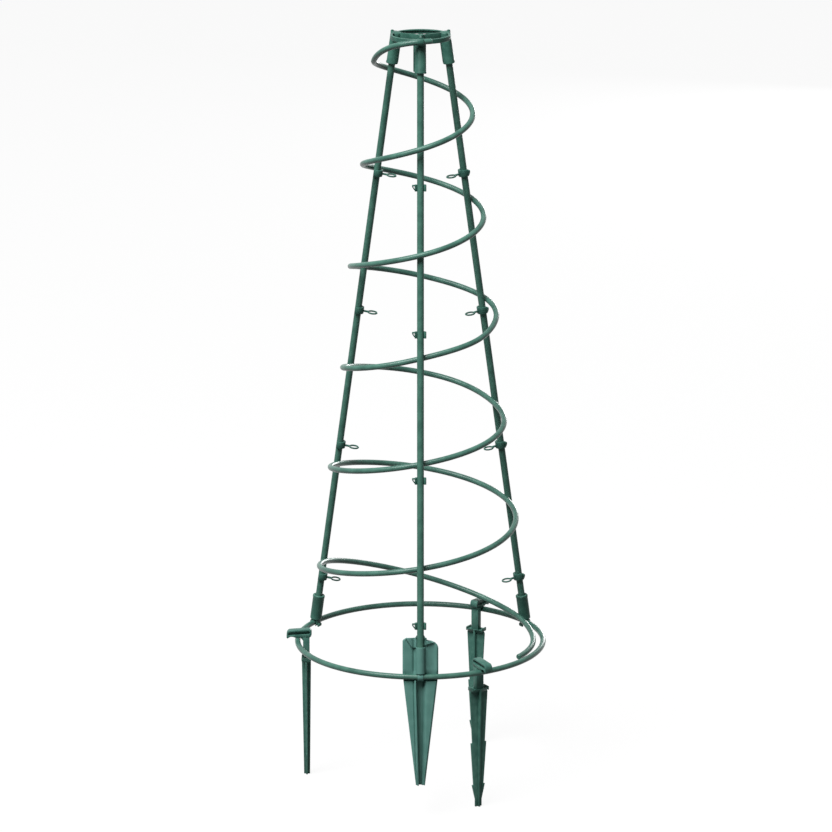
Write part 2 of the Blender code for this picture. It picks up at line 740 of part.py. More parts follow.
def clip_outline():
    """The collar seen along the leg; its mouth faces local +X."""
    inner = LEG_RADIUS + FIT_GAP
    mouth = CLIP_MOUTH_HALF_ANGLE
    return arc(inner + CLIP_WALL, mouth, 360 - mouth, 14) + arc(inner, 360 - mouth, mouth, 16)


def clip_mesh():
    """One clip in its leg's frame: collar, release lip, neck and a round eye opposite the mouth."""
    collar = slab([clip_outline()], CLIP_HEIGHT)
    collar_back = LEG_RADIUS + FIT_GAP + CLIP_WALL
    wire = EYE_WIRE / 2
    ring_radius = EYE_DIAMETER / 2 - wire
    eye_centre = collar_back + CLIP_NECK_LENGTH + EYE_DIAMETER / 2
    bpy.ops.mesh.primitive_torus_add(
        major_segments=18, minor_segments=6, major_radius=ring_radius, minor_radius=wire,
        location=(-eye_centre, 0.0, 0.0),
    )
    eye = bpy.context.object
    lip_side = collar_back * math.sin(math.radians(CLIP_MOUTH_HALF_ANGLE))
    lip_edge = collar_back * math.cos(math.radians(CLIP_MOUTH_HALF_ANGLE)) - FIT_GAP
    lip = box(
        (lip_edge - CLIP_LIP_THICKNESS, -CLIP_LIP_SPREAD, CLIP_HEIGHT / 2 - CLIP_LIP_HEIGHT),
        (lip_edge, CLIP_WALL / 2 - lip_side, CLIP_HEIGHT / 2 - FIT_GAP),
    )
    neck = box(
        (-eye_centre + ring_radius - wire / 2, -CLIP_NECK_WIDTH / 2, -CLIP_NECK_HEIGHT / 2),
        (-collar_back + CLIP_WALL / 2, CLIP_NECK_WIDTH / 2, CLIP_NECK_HEIGHT / 2),
    )
    return shared_mesh("tie_clip", combine(collar, [eye, neck, lip], "UNION"), CLIP_GREEN)


def make_clips():
    mesh = clip_mesh()
    for side, azimuth in LEG_AZIMUTHS.items():
        for number, level in enumerate(CLIP_NAMES):
            turn = Matrix.Rotation(math.radians(CLIP_TURNS[side]), 4, "Z")
            share = CLIP_LOWEST_SHARE + CLIP_SPACING_SHARE * number
            frame = leg_frame(azimuth, CROWN_HEIGHT * share) @ turn
            file_copy(f"{side}_{level}_clip", mesh, frame)


make_coil()
make_ring()
make_crown()
for side, azimuth in LEG_AZIMUTHS.items():
    make_leg(side, azimuth)
make_rear_foot("rear_right", LEG_AZIMUTHS["rear_right"])
make_rear_foot("rear_left", LEG_AZIMUTHS["rear_left"])
make_front_foot()
make_pegs()
make_clips()
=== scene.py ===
import math

import bmesh
import bpy
from mathutils import Matrix, Vector


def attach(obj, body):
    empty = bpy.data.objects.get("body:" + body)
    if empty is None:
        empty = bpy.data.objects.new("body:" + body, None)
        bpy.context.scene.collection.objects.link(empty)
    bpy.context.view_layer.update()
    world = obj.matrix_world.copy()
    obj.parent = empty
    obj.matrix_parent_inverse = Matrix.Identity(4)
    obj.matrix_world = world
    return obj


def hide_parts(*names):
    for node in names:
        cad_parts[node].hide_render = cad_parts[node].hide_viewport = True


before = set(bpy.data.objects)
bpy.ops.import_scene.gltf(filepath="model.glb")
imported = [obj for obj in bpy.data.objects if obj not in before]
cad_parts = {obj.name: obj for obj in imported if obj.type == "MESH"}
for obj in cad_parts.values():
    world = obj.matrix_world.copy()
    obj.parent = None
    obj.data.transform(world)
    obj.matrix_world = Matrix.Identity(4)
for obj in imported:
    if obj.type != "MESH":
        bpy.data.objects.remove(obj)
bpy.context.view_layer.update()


# The photograph's view
# One long lens stands seven and a half metres in front of the tower, above its crown, and
# looks down at it by less than fifteen degrees.

FOCAL_PIXELS = 4812.76
FRAME_PIXELS = 832.0
SENSOR_WIDTH = 36.0
VIEW_POINT = (-0.00005, -7.48693, 2.57648)
VIEW_TILT = 0.2568
VIEW_REACH = 60.0

lens = bpy.data.cameras.new("photograph_view")
lens.sensor_width = SENSOR_WIDTH
lens.lens = FOCAL_PIXELS * SENSOR_WIDTH / FRAME_PIXELS
lens.clip_end = VIEW_REACH
camera = bpy.data.objects.new("photograph_view", lens)
camera.location = VIEW_POINT
camera.rotation_euler = (math.pi / 2 - VIEW_TILT, 0.0, 0.0)
bpy.context.scene.collection.objects.link(camera)
bpy.context.scene.camera = camera
bpy.context.scene.view_settings.view_transform = "Standard"


# Floor and studio light
# A pale floor under a dim dome. The tower stands on the tips of its pegs. One large soft lamp
# lights it from the front and the upper left, so that its right sides fall into shade, and a
# weak one behind it keeps its back from going black.

FLOOR_HALF_SIZE = 20.0
FLOOR_DROP = 0.0005
FLOOR_WHITE_SHARE = 0.92
FLOOR_SHADE_SEEN = 0.86
FLOOR_SHADE_UNSEEN = 0.06
FLOOR_ROUGHNESS = 0.9
DOME_LIGHT = 0.03
TOWER_MIDDLE = Vector((0.0, 0.0, 0.65))
KEY_LAMP_PLACE = Vector((-2.39, -2.85, 7.0))
KEY_LAMP_SIZE = 5.0
KEY_LAMP_POWER = 1090.0
BACK_LAMP_PLACE = Vector((1.8, 5.8, 0.9))
BACK_LAMP_SIZE = 1.6
BACK_LAMP_POWER = 75.0

floor_mesh = bpy.data.meshes.new("floor")
floor_corners = [(-1, -1), (1, -1), (1, 1), (-1, 1)]
floor_mesh.from_pydata(
    [(x * FLOOR_HALF_SIZE, y * FLOOR_HALF_SIZE, -FLOOR_DROP) for x, y in floor_corners], [], [(0, 1, 2, 3)]
)
floor = bpy.data.objects.new("floor", floor_mesh)
bpy.context.scene.collection.objects.link(floor)


def background_rays(tree):
    """One for a ray from the camera, from a mirror or through glass, and zero for the others."""
    path = tree.nodes.new("ShaderNodeLightPath")
    seen = path.outputs["Is Camera Ray"]
    for ray in ("Is Glossy Ray", "Is Transmission Ray"):
        either = tree.nodes.new("ShaderNodeMath")
        either.operation = "MAXIMUM"
        tree.links.new(seen, either.inputs[0])
        tree.links.new(path.outputs[ray], either.inputs[1])
        seen = either.outputs[0]
    return seen


def grey(shade):
    return shade, shade, shade, 1.0


pale = bpy.data.materials.new("pale_floor")
pale.use_nodes = True
pale_tree = pale.node_tree
matt = pale_tree.nodes["Principled BSDF"]
matt.inputs["Roughness"].default_value = FLOOR_ROUGHNESS
floor_seen = background_rays(pale_tree)
floor_shade = pale_tree.nodes.new("ShaderNodeMix")
floor_shade.data_type = "RGBA"
floor_shade.inputs["A"].default_value = grey(FLOOR_SHADE_UNSEEN)
floor_shade.inputs["B"].default_value = grey(FLOOR_SHADE_SEEN)
pale_tree.links.new(floor_seen, floor_shade.inputs["Factor"])
pale_tree.links.new(floor_shade.outputs["Result"], matt.inputs["Base Color"])
white_share = pale_tree.nodes.new("ShaderNodeMath")
white_share.operation = "MULTIPLY"
white_share.inputs[1].default_value = FLOOR_WHITE_SHARE
pale_tree.links.new(floor_seen, white_share.inputs[0])
glow = pale_tree.nodes.new("ShaderNodeEmission")
floor_mix = pale_tree.nodes.new("ShaderNodeMixShader")
pale_tree.links.new(white_share.outputs[0], floor_mix.inputs[0])
pale_tree.links.new(matt.outputs[0], floor_mix.inputs[1])
pale_tree.links.new(glow.outputs[0], floor_mix.inputs[2])
pale_tree.links.new(floor_mix.outputs[0], pale_tree.nodes["Material Output"].inputs["Surface"])
floor_mesh.materials.append(pale)

world = bpy.data.worlds.new("dim_dome")
world.use_nodes = True
dome = world.node_tree
dome_light = dome.nodes.new("ShaderNodeMapRange")
dome_light.inputs["To Min"].default_value = DOME_LIGHT
dome_light.inputs["To Max"].default_value = 1.0
dome.links.new(background_rays(dome), dome_light.inputs["Value"])
dome.links.new(dome_light.outputs["Result"], dome.nodes["Background"].inputs["Strength"])
dome.nodes["Background"].inputs["Color"].default_value = grey(1.0)
bpy.context.scene.world = world


def soft_lamp(name, place, size, power):
    """A round lamp that faces the middle of the tower."""
    data = bpy.data.lights.new(name, "AREA")
    data.shape = "DISK"
    data.size = size
    data.energy = power
    lamp = bpy.data.objects.new(name, data)
    lamp.location = place
    lamp.rotation_euler = (TOWER_MIDDLE - place).to_track_quat("-Z", "Y").to_euler()
    bpy.context.scene.collection.objects.link(lamp)


soft_lamp("key_lamp", KEY_LAMP_PLACE, KEY_LAMP_SIZE, KEY_LAMP_POWER)
soft_lamp("back_lamp", BACK_LAMP_PLACE, BACK_LAMP_SIZE, BACK_LAMP_POWER)


# Leg tubes
# Three straight garden stakes: thin steel tube in a green plastic skin with small nubs. They
# lean together, pushed into the crown's sockets at the top and into the feet at the bottom.

MM = 0.001
AXIS = Vector((7.03 * MM, 13.31 * MM, 0.0))
RING_LEVEL = 230.0 * MM
RING_RADIUS = 200.0 * MM
CROWN_HEIGHT = 1000.0 * MM
LEG_CROWN_RADIUS = 44.4 * MM
LEG_RADIUS = 5.5 * MM
LEG_LEAN = math.atan2(RING_RADIUS - LEG_CROWN_RADIUS, CROWN_HEIGHT)
LEG_AZIMUTHS = {"front": -90.0, "rear_right": 30.0, "rear_left": 150.0}
TUBE_BOTTOM = 9.3 * MM
TUBE_TOP_GAP = 6.3 * MM
TUBE_END_ROUND = 0.8 * MM
TUBE_SIDES = 48
NUB_ROWS = 6
NUB_SPACING = 7.0 * MM
NUB_DEPTH = 0.10 * MM
NUB_SHARPNESS = 1.6
SHARP_EDGE_ANGLE = 38.0
PLASTIC_SHINE = 0.14
MOTTLE_DEEP_AT = 0.34
MOTTLE_LIGHT_AT = 0.66
GLOSS_BELOW = 0.07
GLOSS_ABOVE = 0.09
GRAIN_SCALE = 1400.0
GRAIN_DEPTH = 0.2 * MM


def on_tower(azimuth, radius, height):
    angle = math.radians(azimuth)
    return AXIS + Vector((radius * math.cos(angle), radius * math.sin(angle), RING_LEVEL + height))


def tower_frame(azimuth, radius, height):
    """Local +X points away from the tower's axis and +Z straight up."""
    turn = Matrix.Rotation(math.radians(azimuth), 4, "Z")
    return Matrix.Translation(on_tower(azimuth, radius, height)) @ turn


def leg_radius(height):
    return RING_RADIUS + (LEG_CROWN_RADIUS - RING_RADIUS) * height / CROWN_HEIGHT


def leg_frame(azimuth, height):
    """Local +Z runs up the leg's axis and local +X leans away from the tower's axis."""
    lean = Matrix.Rotation(-LEG_LEAN, 4, "Y")
    return tower_frame(azimuth, leg_radius(height), height) @ lean


def turned(profile, sides, closed=False):
    """A turned part: its (radius, height) profile swept round local Z."""
    bm = bmesh.new()
    rings = []
    for radius, height in profile:
        ring = []
        for side in range(sides):
            angle = 2.0 * math.pi * side / sides
            ring.append(bm.verts.new((radius * math.cos(angle), radius * math.sin(angle), height)))
        rings.append(ring)
    pairs = list(zip(rings, rings[1:]))
    if closed:
        pairs.append((rings[-1], rings[0]))
    for low, high in pairs:
        for side in range(sides):
            after = (side + 1) % sides
            bm.faces.new((low[side], low[after], high[after], high[side]))
    if not closed:
        bm.faces.new(list(reversed(rings[0])))
        bm.faces.new(rings[-1])
    bmesh.ops.recalc_face_normals(bm, faces=bm.faces)
    return bm


def put_together(name, shapes, local_frame, material, body, node):
    """Joins shapes made in one local frame and sets the piece in place of its CAD node."""
    whole = bmesh.new()
    for shape in shapes:
        scratch = bpy.data.meshes.new("scratch")
        shape.to_mesh(scratch)
        shape.free()
        whole.from_mesh(scratch)
        bpy.data.meshes.remove(scratch)
    mesh = bpy.data.meshes.new(name)
    whole.to_mesh(mesh)
    whole.free()
    mesh.materials.append(material)
    mesh.shade_smooth()
    mesh.set_sharp_from_angle(angle=math.radians(SHARP_EDGE_ANGLE))
    piece = bpy.data.objects.new(name, mesh)
    piece.matrix_world = local_frame
    bpy.context.scene.collection.objects.link(piece)
    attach(piece, body)
    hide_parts(node)


def green_plastic(name, deep, light, roughness, mottle_scale, grain, shine=PLASTIC_SHINE):
    """Moulded green plastic: soft mottling, a fine grain, and gloss that varies a little."""
    material = bpy.data.materials.new(name)
    material.use_nodes = True
    tree = material.node_tree
    shader = tree.nodes["Principled BSDF"]
    place = tree.nodes.new("ShaderNodeTexCoord")
    mottle = tree.nodes.new("ShaderNodeTexNoise")
    mottle.inputs["Scale"].default_value = mottle_scale
    mottle.inputs["Detail"].default_value = 5.0
    tree.links.new(place.outputs["Object"], mottle.inputs["Vector"])
    shades = tree.nodes.new("ShaderNodeValToRGB")
    shades.color_ramp.elements[0].position = MOTTLE_DEEP_AT
    shades.color_ramp.elements[0].color = (*deep, 1.0)
    shades.color_ramp.elements[1].position = MOTTLE_LIGHT_AT
    shades.color_ramp.elements[1].color = (*light, 1.0)
    tree.links.new(mottle.outputs["Fac"], shades.inputs["Fac"])
    tree.links.new(shades.outputs["Color"], shader.inputs["Base Color"])
    shader.inputs["Specular IOR Level"].default_value = shine
    gloss = tree.nodes.new("ShaderNodeMapRange")
    gloss.inputs["To Min"].default_value = roughness - GLOSS_BELOW
    gloss.inputs["To Max"].default_value = roughness + GLOSS_ABOVE
    tree.links.new(mottle.outputs["Fac"], gloss.inputs["Value"])
    tree.links.new(gloss.outputs["Result"], shader.inputs["Roughness"])
    fine = tree.nodes.new("ShaderNodeTexNoise")
    fine.inputs["Scale"].default_value = GRAIN_SCALE
    fine.inputs["Detail"].default_value = 3.0
    tree.links.new(place.outputs["Object"], fine.inputs["Vector"])
    relief = tree.nodes.new("ShaderNodeBump")
    relief.inputs["Strength"].default_value = grain
    relief.inputs["Distance"].default_value = GRAIN_DEPTH
    tree.links.new(fine.outputs["Fac"], relief.inputs["Height"])
    tree.links.new(relief.outputs["Normal"], shader.inputs["Normal"])
    return material


def add_nubs(material):
    """Rows of small round nubs round a tube whose axis is local Z."""
    tree = material.node_tree
    place = tree.nodes.new("ShaderNodeTexCoord")
    split = tree.nodes.new("ShaderNodeSeparateXYZ")
    tree.links.new(place.outputs["Object"], split.inputs[0])

    def calc(operation, *values):
        node = tree.nodes.new("ShaderNodeMath")
        node.operation = operation
        for socket, value in zip(node.inputs, values):
            if isinstance(value, float):
                socket.default_value = value
            else:
                tree.links.new(value, socket)
        return node.outputs[0]

    angle = calc("ARCTAN2", split.outputs["Y"], split.outputs["X"])
    round_wave = calc("SINE", calc("MULTIPLY", angle, float(NUB_ROWS)))
    along_wave = calc("SINE", calc("MULTIPLY", split.outputs["Z"], 2.0 * math.pi / NUB_SPACING))
    raised = calc("MAXIMUM", calc("MULTIPLY", round_wave, along_wave), 0.0)
    nubs = calc("POWER", raised, NUB_SHARPNESS)
    relief = tree.nodes.new("ShaderNodeBump")
    relief.inputs["Strength"].default_value = 1.0
    relief.inputs["Distance"].default_value = NUB_DEPTH
    tree.links.new(nubs, relief.inputs["Height"])
    shader = tree.nodes["Principled BSDF"]
    tree.links.new(shader.inputs["Normal"].links[0].from_socket, relief.inputs["Normal"])
    tree.links.new(relief.outputs["Normal"], shader.inputs["Normal"])


tube_skin = green_plastic(
    "nubbed_tube_skin", deep=(0.040, 0.118, 0.090), light=(0.066, 0.170, 0.130),
    roughness=0.36, mottle_scale=70.0, grain=0.25,
)
add_nubs(tube_skin)
tube_top = CROWN_HEIGHT / math.cos(LEG_LEAN) - TUBE_TOP_GAP
tube_profile = [
    (LEG_RADIUS - TUBE_END_ROUND, TUBE_BOTTOM),
    (LEG_RADIUS, TUBE_BOTTOM + TUBE_END_ROUND),
    (LEG_RADIUS, tube_top - TUBE_END_ROUND),
    (LEG_RADIUS - TUBE_END_ROUND, tube_top),
]
for side, azimuth in LEG_AZIMUTHS.items():
    put_together(
        side + "_tube", [turned(tube_profile, TUBE_SIDES)], leg_frame(azimuth, 0.0),
        tube_skin, "tower", side + "_leg",
    )


# Coil
# One long round plastic rod, wound down round the legs in a widening spiral. It springs against
# them, outside at the top and inside below, and its lower end comes down inside the ring.

ROD_RADIUS = 4.5 * MM
ROD_SIDES = 20
ROD_END_ROUNDING = 0.3
ROD_GAP_TO_LEG = 0.5 * MM
COIL_TOP_DROP = 1.3 * MM
TURNS_TO_RING = 6.0056
OUTSIDE_AT_TOP = 24.7 * MM
STEP_IN_PER_TURN = 7.88 * MM
OUTSIDE_LEGS_UNTIL = 2.8
CLEARING_TURNS = 0.15
START_TUCK = 9.3 * MM
START_LIFT = 9.5 * MM
START_TURNS = 0.25
COIL_START = -0.05
LANDING_START = 5.28
LANDING_END = 5.66
LANDING_DROP = 44.0 * MM
LANDING_EASE = 6.0 * MM
TAIL_INSET = 16.0 * MM
COIL_END = 5.836
STATIONS_PER_TURN = 108


def held_in_unit(share):
    return min(max(share, 0.0), 1.0)


def eased(share):
    """A smooth step from zero to one."""
    share = held_in_unit(share)
    return share * share * (3.0 - 2.0 * share)


def spiral_height(turns):
    top = CROWN_HEIGHT - COIL_TOP_DROP
    return top - top * turns / TURNS_TO_RING


def free_offset(turns):
    return OUTSIDE_AT_TOP - STEP_IN_PER_TURN * turns


def pushed_by_leg(crossing):
    """How far a leg springs the rod outwards at a crossing, or inwards where it is negative."""
    turns = crossing / len(LEG_AZIMUTHS)
    clear = (LEG_RADIUS + ROD_RADIUS + ROD_GAP_TO_LEG) / math.cos(LEG_LEAN)
    if turns < OUTSIDE_LEGS_UNTIL:
        return max(clear - free_offset(turns), 0.0)
    return min(-clear - free_offset(turns), 0.0)


def wound_radius(turns):
    crossing = round(turns * len(LEG_AZIMUTHS))
    away = abs(turns - crossing / len(LEG_AZIMUTHS))
    push = pushed_by_leg(crossing) * (1.0 - eased(away / CLEARING_TURNS))
    radius = leg_radius(spiral_height(turns)) + free_offset(turns) + push
    if turns < START_TURNS:
        radius -= START_TUCK * (1.0 - turns / START_TURNS)
    return radius


def landing_share(turns):
    return held_in_unit((turns - LANDING_START) / (LANDING_END - LANDING_START))


def rod_height(turns):
    height = spiral_height(max(turns, 0.0))
    if 0.0 < turns < START_TURNS:
        height += START_LIFT * math.sin(math.pi * turns / START_TURNS)
    height -= LANDING_DROP * eased(landing_share(turns))
    if height < LANDING_EASE:
        height = max(height + LANDING_EASE, 0.0) ** 2 / (4.0 * LANDING_EASE)
    return height


def rod_radius(turns):
    share = landing_share(turns)
    if share == 0.0:
        return wound_radius(turns)
    return wound_radius(LANDING_START) * (1.0 - share) + (RING_RADIUS - TAIL_INSET) * share


def rod_point(turns):
    return on_tower(LEG_AZIMUTHS["front"] - 360.0 * turns, rod_radius(turns), rod_height(turns))


def rod_route():
    count = math.ceil((COIL_END - COIL_START) * STATIONS_PER_TURN)
    step = (COIL_END - COIL_START) / count
    return [rod_point(COIL_START + step * number) for number in range(count + 1)]


def swept(points, radius, sides):
    """A round rod along points, with a softly rounded end at each end."""
    bm = bmesh.new()
    rings = []
    first = (points[1] - points[0]).normalized()
    side_way = first.cross(Vector((0.0, 0.0, 1.0))).normalized()
    stations = []
    for index, point in enumerate(points):
        ahead = points[min(index + 1, len(points) - 1)]
        behind = points[max(index - 1, 0)]
        stations.append((point, (ahead - behind).normalized(), radius))
    start, start_way, _ = stations[0]
    end, end_way, _ = stations[-1]
    rounding = ROD_END_ROUNDING * radius
    stations[0] = (start + start_way * rounding, start_way, radius)
    stations.insert(0, (start, start_way, radius - rounding))
    stations[-1] = (end - end_way * rounding, end_way, radius)
    stations.append((end, end_way, radius - rounding))
    for point, way, size in stations:
        side_way = (side_way - way * side_way.dot(way)).normalized()
        up_way = side_way.cross(way)
        ring = []
        for side in range(sides):
            angle = 2.0 * math.pi * side / sides
            ring.append(bm.verts.new(
                point + side_way * size * math.cos(angle) + up_way * size * math.sin(angle)
            ))
        rings.append(ring)
    for low, high in zip(rings, rings[1:]):
        for side in range(sides):
            after = (side + 1) % sides
            bm.faces.new((low[side], low[after], high[after], high[side]))
    bm.faces.new(rings[0])
    bm.faces.new(rings[-1])
    bmesh.ops.recalc_face_normals(bm, faces=bm.faces)
    return bm


rod_skin = green_plastic(
    "rod_skin", deep=(0.034, 0.104, 0.080), light=(0.060, 0.158, 0.122),
    roughness=0.30, mottle_scale=55.0, grain=0.3, shine=0.24,
)
put_together(
    "coil_rod", [swept(rod_route(), ROD_RADIUS, ROD_SIDES)], Matrix.Identity(4),
    rod_skin, "tower", "coil",
)


# Ring
# A closed hoop of the same plastic rod, flat at the foot of the tower. The three feet snap on
# it, and the pegs hang on it.

HOOP_SIDES = 288


def arc(radius, start, end, steps):
    """Points along an arc, with its angles in degrees."""
    points = []
    for step in range(steps + 1):
        angle = math.radians(start + (end - start) * step / steps)
        points.append((radius * math.cos(angle), radius * math.sin(angle)))
    return points


def hoop(hoop_radius, wire_radius, wire_sides, sides):
    """A closed hoop of round wire, flat in local XY."""
    wire = arc(wire_radius, 0.0, 360.0 - 360.0 / wire_sides, wire_sides - 1)
    return turned([(hoop_radius + x, z) for x, z in wire], sides, closed=True)


put_together(
    "ring_rod", [hoop(RING_RADIUS, ROD_RADIUS, ROD_SIDES, HOOP_SIDES)], tower_frame(0.0, 0.0, 0.0),
    rod_skin, "tower", "ring",
)


# Crown
# One dark green moulding that holds the tops of the three legs: a ring, three spokes and a
# hub, with a tapered socket under each spoke's end and a grip for the coil's top end in front.

BAND_OUTER_RADIUS = 48.0 * MM
BAND_INNER_RADIUS = 46.2 * MM
BAND_LIP = 2.2 * MM
BAND_LIP_EDGE = 1.0 * MM
BAND_LIP_ROOT = 1.2 * MM
BAND_HEIGHT = 7.6 * MM
BAND_ROUND = 0.8 * MM
BAND_SIDES = 96
HUB_RADIUS = 6.0 * MM
HUB_SIDES = 32
DIMPLE_RADIUS = 2.4 * MM
DIMPLE_FLOOR_RADIUS = 1.8 * MM
DIMPLE_SIDE_DEPTH = 1.2 * MM
DIMPLE_DEPTH = 1.4 * MM
SPOKE_HEIGHT = 11.5 * MM
SPOKE_WIDTH = 3.2 * MM
SPOKE_TOP = -0.6 * MM
SPOKE_ROUND = 0.6 * MM
PROFILE_CORE = 0.3 * MM
SOCKET_LENGTHS = {"front": 54.0 * MM, "rear_right": 51.5 * MM, "rear_left": 51.5 * MM}
SOCKET_TOP_RADIUS = 8.75 * MM
SOCKET_MOUTH_RADIUS = 9.5 * MM
SOCKET_ROOF = 6.0 * MM
SOCKET_SIDES = 40
BORE_RADIUS = 5.9 * MM
FIN_THICKNESS = 2.6 * MM
FIN_ROOT = 6.4 * MM
FIN_REACH = {"front": 11.4 * MM, "rear_right": 9.9 * MM, "rear_left": 9.9 * MM}
FIN_CLEARANCE = 3.0 * MM
FIN_TOP = -2.0 * MM
FIN_ROUND = 0.5 * MM
FIN_ANGLES = {"front": -100.0, "rear_right": 165.0, "rear_left": 195.0}
HORN_LOW = (5.6 * MM, -2.6 * MM, -3.0 * MM)
HORN_HIGH = (9.2 * MM, 2.6 * MM, 1.6 * MM)
HORN_ROUND = 0.9 * MM
GRIP_INNER_RADIUS = 4.8 * MM
GRIP_OUTER_RADIUS = 7.0 * MM
GRIP_MOUTH_INNER_ANGLE = 50.0
GRIP_MOUTH_OUTER_ANGLE = 31.0
GRIP_ROUND = 0.5 * MM
GRIP_FACING_UP = 90.0
CROWN_GRIP_WIDTH = 10.0 * MM
GRIP_NECK_LOW = (-14.0 * MM, -2.6 * MM, -2.6 * MM)
GRIP_NECK_HIGH = (-5.2 * MM, 2.6 * MM, 2.6 * MM)
GRIP_NECK_ROUND = 0.7 * MM
ROUNDED_EDGE_ANGLE = 30.0
SIDEWAYS = Matrix(((1, 0, 0, 0), (0, 0, -1, 0), (0, 1, 0, 0), (0, 0, 0, 1)))


def moved(shape, matrix):
    bmesh.ops.transform(shape, matrix=matrix, verts=shape.verts)
    return shape


def round_edges(shape, rounding):
    """Rounds every edge where two faces meet at more than a slight angle."""
    sharp = math.radians(ROUNDED_EDGE_ANGLE)
    edges = [edge for edge in shape.edges if edge.calc_face_angle() > sharp]
    bmesh.ops.bevel(
        shape, geom=edges, offset=rounding, segments=2, profile=0.5, affect="EDGES", clamp_overlap=True
    )
    return shape


def plate(outline, thickness, rounding):
    """A moulded plate in local XY, centred on z = 0, with rounded rims."""
    bm = bmesh.new()
    low = [bm.verts.new((x, y, -thickness / 2)) for x, y in outline]
    high = [bm.verts.new((x, y, thickness / 2)) for x, y in outline]
    bm.faces.new(list(reversed(low)))
    bm.faces.new(high)
    for first in range(len(outline)):
        second = (first + 1) % len(outline)
        bm.faces.new((low[first], low[second], high[second], high[first]))
    bmesh.ops.recalc_face_normals(bm, faces=bm.faces)
    return round_edges(bm, rounding)


def block(low, high, rounding):
    """A moulded block between two corners, with rounded edges."""
    outline = [(low[0], low[1]), (high[0], low[1]), (high[0], high[1]), (low[0], high[1])]
    shape = plate(outline, high[2] - low[2], rounding)
    return moved(shape, Matrix.Translation((0.0, 0.0, (low[2] + high[2]) / 2)))


def rod_grip(width, mouth_at):
    """An open grip round a rod that lies along local Y; its mouth faces the given angle."""
    outer_start = mouth_at + GRIP_MOUTH_OUTER_ANGLE
    outer_end = mouth_at + 360.0 - GRIP_MOUTH_OUTER_ANGLE
    inner_start = mouth_at + 360.0 - GRIP_MOUTH_INNER_ANGLE
    inner_end = mouth_at + GRIP_MOUTH_INNER_ANGLE
    outer = arc(GRIP_OUTER_RADIUS, outer_start, outer_end, steps=22)
    inner = arc(GRIP_INNER_RADIUS, inner_start, inner_end, steps=18)
    return moved(plate(outer + inner, width, GRIP_ROUND), SIDEWAYS)


def crown_band():
    lip_radius = BAND_INNER_RADIUS - BAND_LIP
    return turned([
        (lip_radius, -BAND_ROUND - BAND_LIP_EDGE), (BAND_INNER_RADIUS, -BAND_ROUND - BAND_LIP_ROOT),
        (BAND_INNER_RADIUS, -BAND_HEIGHT + BAND_ROUND), (BAND_INNER_RADIUS + BAND_ROUND, -BAND_HEIGHT),
        (BAND_OUTER_RADIUS - BAND_ROUND, -BAND_HEIGHT), (BAND_OUTER_RADIUS, -BAND_HEIGHT + BAND_ROUND),
        (BAND_OUTER_RADIUS, -BAND_ROUND), (BAND_OUTER_RADIUS - BAND_ROUND, 0.0),
        (lip_radius + BAND_ROUND, 0.0), (lip_radius, -BAND_ROUND),
    ], BAND_SIDES, closed=True)


def crown_hub():
    """The hub, with a small dimple in its top."""
    return turned([
        (PROFILE_CORE, -SPOKE_HEIGHT), (HUB_RADIUS - BAND_ROUND, -SPOKE_HEIGHT),
        (HUB_RADIUS, -SPOKE_HEIGHT + BAND_ROUND), (HUB_RADIUS, -BAND_ROUND), (HUB_RADIUS - BAND_ROUND, 0.0),
        (DIMPLE_RADIUS, 0.0), (DIMPLE_FLOOR_RADIUS, -DIMPLE_SIDE_DEPTH), (PROFILE_CORE, -DIMPLE_DEPTH),
    ], HUB_SIDES)


def crown_spoke():
    low = (HUB_RADIUS - 1.0 * MM, -SPOKE_WIDTH / 2, -SPOKE_HEIGHT)
    high = (LEG_CROWN_RADIUS, SPOKE_WIDTH / 2, SPOKE_TOP)
    return block(low, high, SPOKE_ROUND)


def crown_socket(length):
    """A tapered blind socket in its leg's frame, with a lip round its mouth."""
    return turned([
        (PROFILE_CORE, -SOCKET_ROOF), (BORE_RADIUS, -SOCKET_ROOF), (BORE_RADIUS, -length + 0.8 * MM),
        (BORE_RADIUS + 0.7 * MM, -length), (SOCKET_MOUTH_RADIUS - 0.6 * MM, -length),
        (SOCKET_MOUTH_RADIUS + 0.1 * MM, -length + 0.7 * MM),
        (SOCKET_MOUTH_RADIUS + 0.1 * MM, -length + 2.6 * MM),
        (SOCKET_MOUTH_RADIUS - 0.5 * MM, -length + 3.6 * MM),
        (SOCKET_TOP_RADIUS, -2.0 * MM), (SOCKET_TOP_RADIUS - 0.5 * MM, -0.7 * MM),
        (SOCKET_TOP_RADIUS - 1.6 * MM, 0.0), (PROFILE_CORE, 0.0),
    ], SOCKET_SIDES)


def socket_fin(side):
    low = (FIN_ROOT, -FIN_THICKNESS / 2, -SOCKET_LENGTHS[side] + FIN_CLEARANCE)
    high = (FIN_REACH[side], FIN_THICKNESS / 2, FIN_TOP)
    return block(low, high, FIN_ROUND)


crown_skin = green_plastic(
    "crown_moulding", deep=(0.024, 0.082, 0.063), light=(0.042, 0.124, 0.095),
    roughness=0.42, mottle_scale=90.0, grain=0.35,
)
crown_frame = tower_frame(0.0, 0.0, CROWN_HEIGHT)
crown_shapes = [crown_band(), crown_hub()]
for side, azimuth in LEG_AZIMUTHS.items():
    spoke_turn = Matrix.Rotation(math.radians(azimuth), 4, "Z")
    fin_turn = Matrix.Rotation(math.radians(FIN_ANGLES[side]), 4, "Z")
    socket_frame = crown_frame.inverted() @ leg_frame(azimuth, CROWN_HEIGHT)
    crown_shapes.append(moved(crown_spoke(), spoke_turn))
    crown_shapes.append(moved(crown_socket(SOCKET_LENGTHS[side]), socket_frame))
    crown_shapes.append(moved(socket_fin(side), socket_frame @ fin_turn))
    crown_shapes.append(moved(block(HORN_LOW, HORN_HIGH, HORN_ROUND), socket_frame))
coil_top_frame = tower_frame(LEG_AZIMUTHS["front"], rod_radius(0.0), rod_height(0.0))
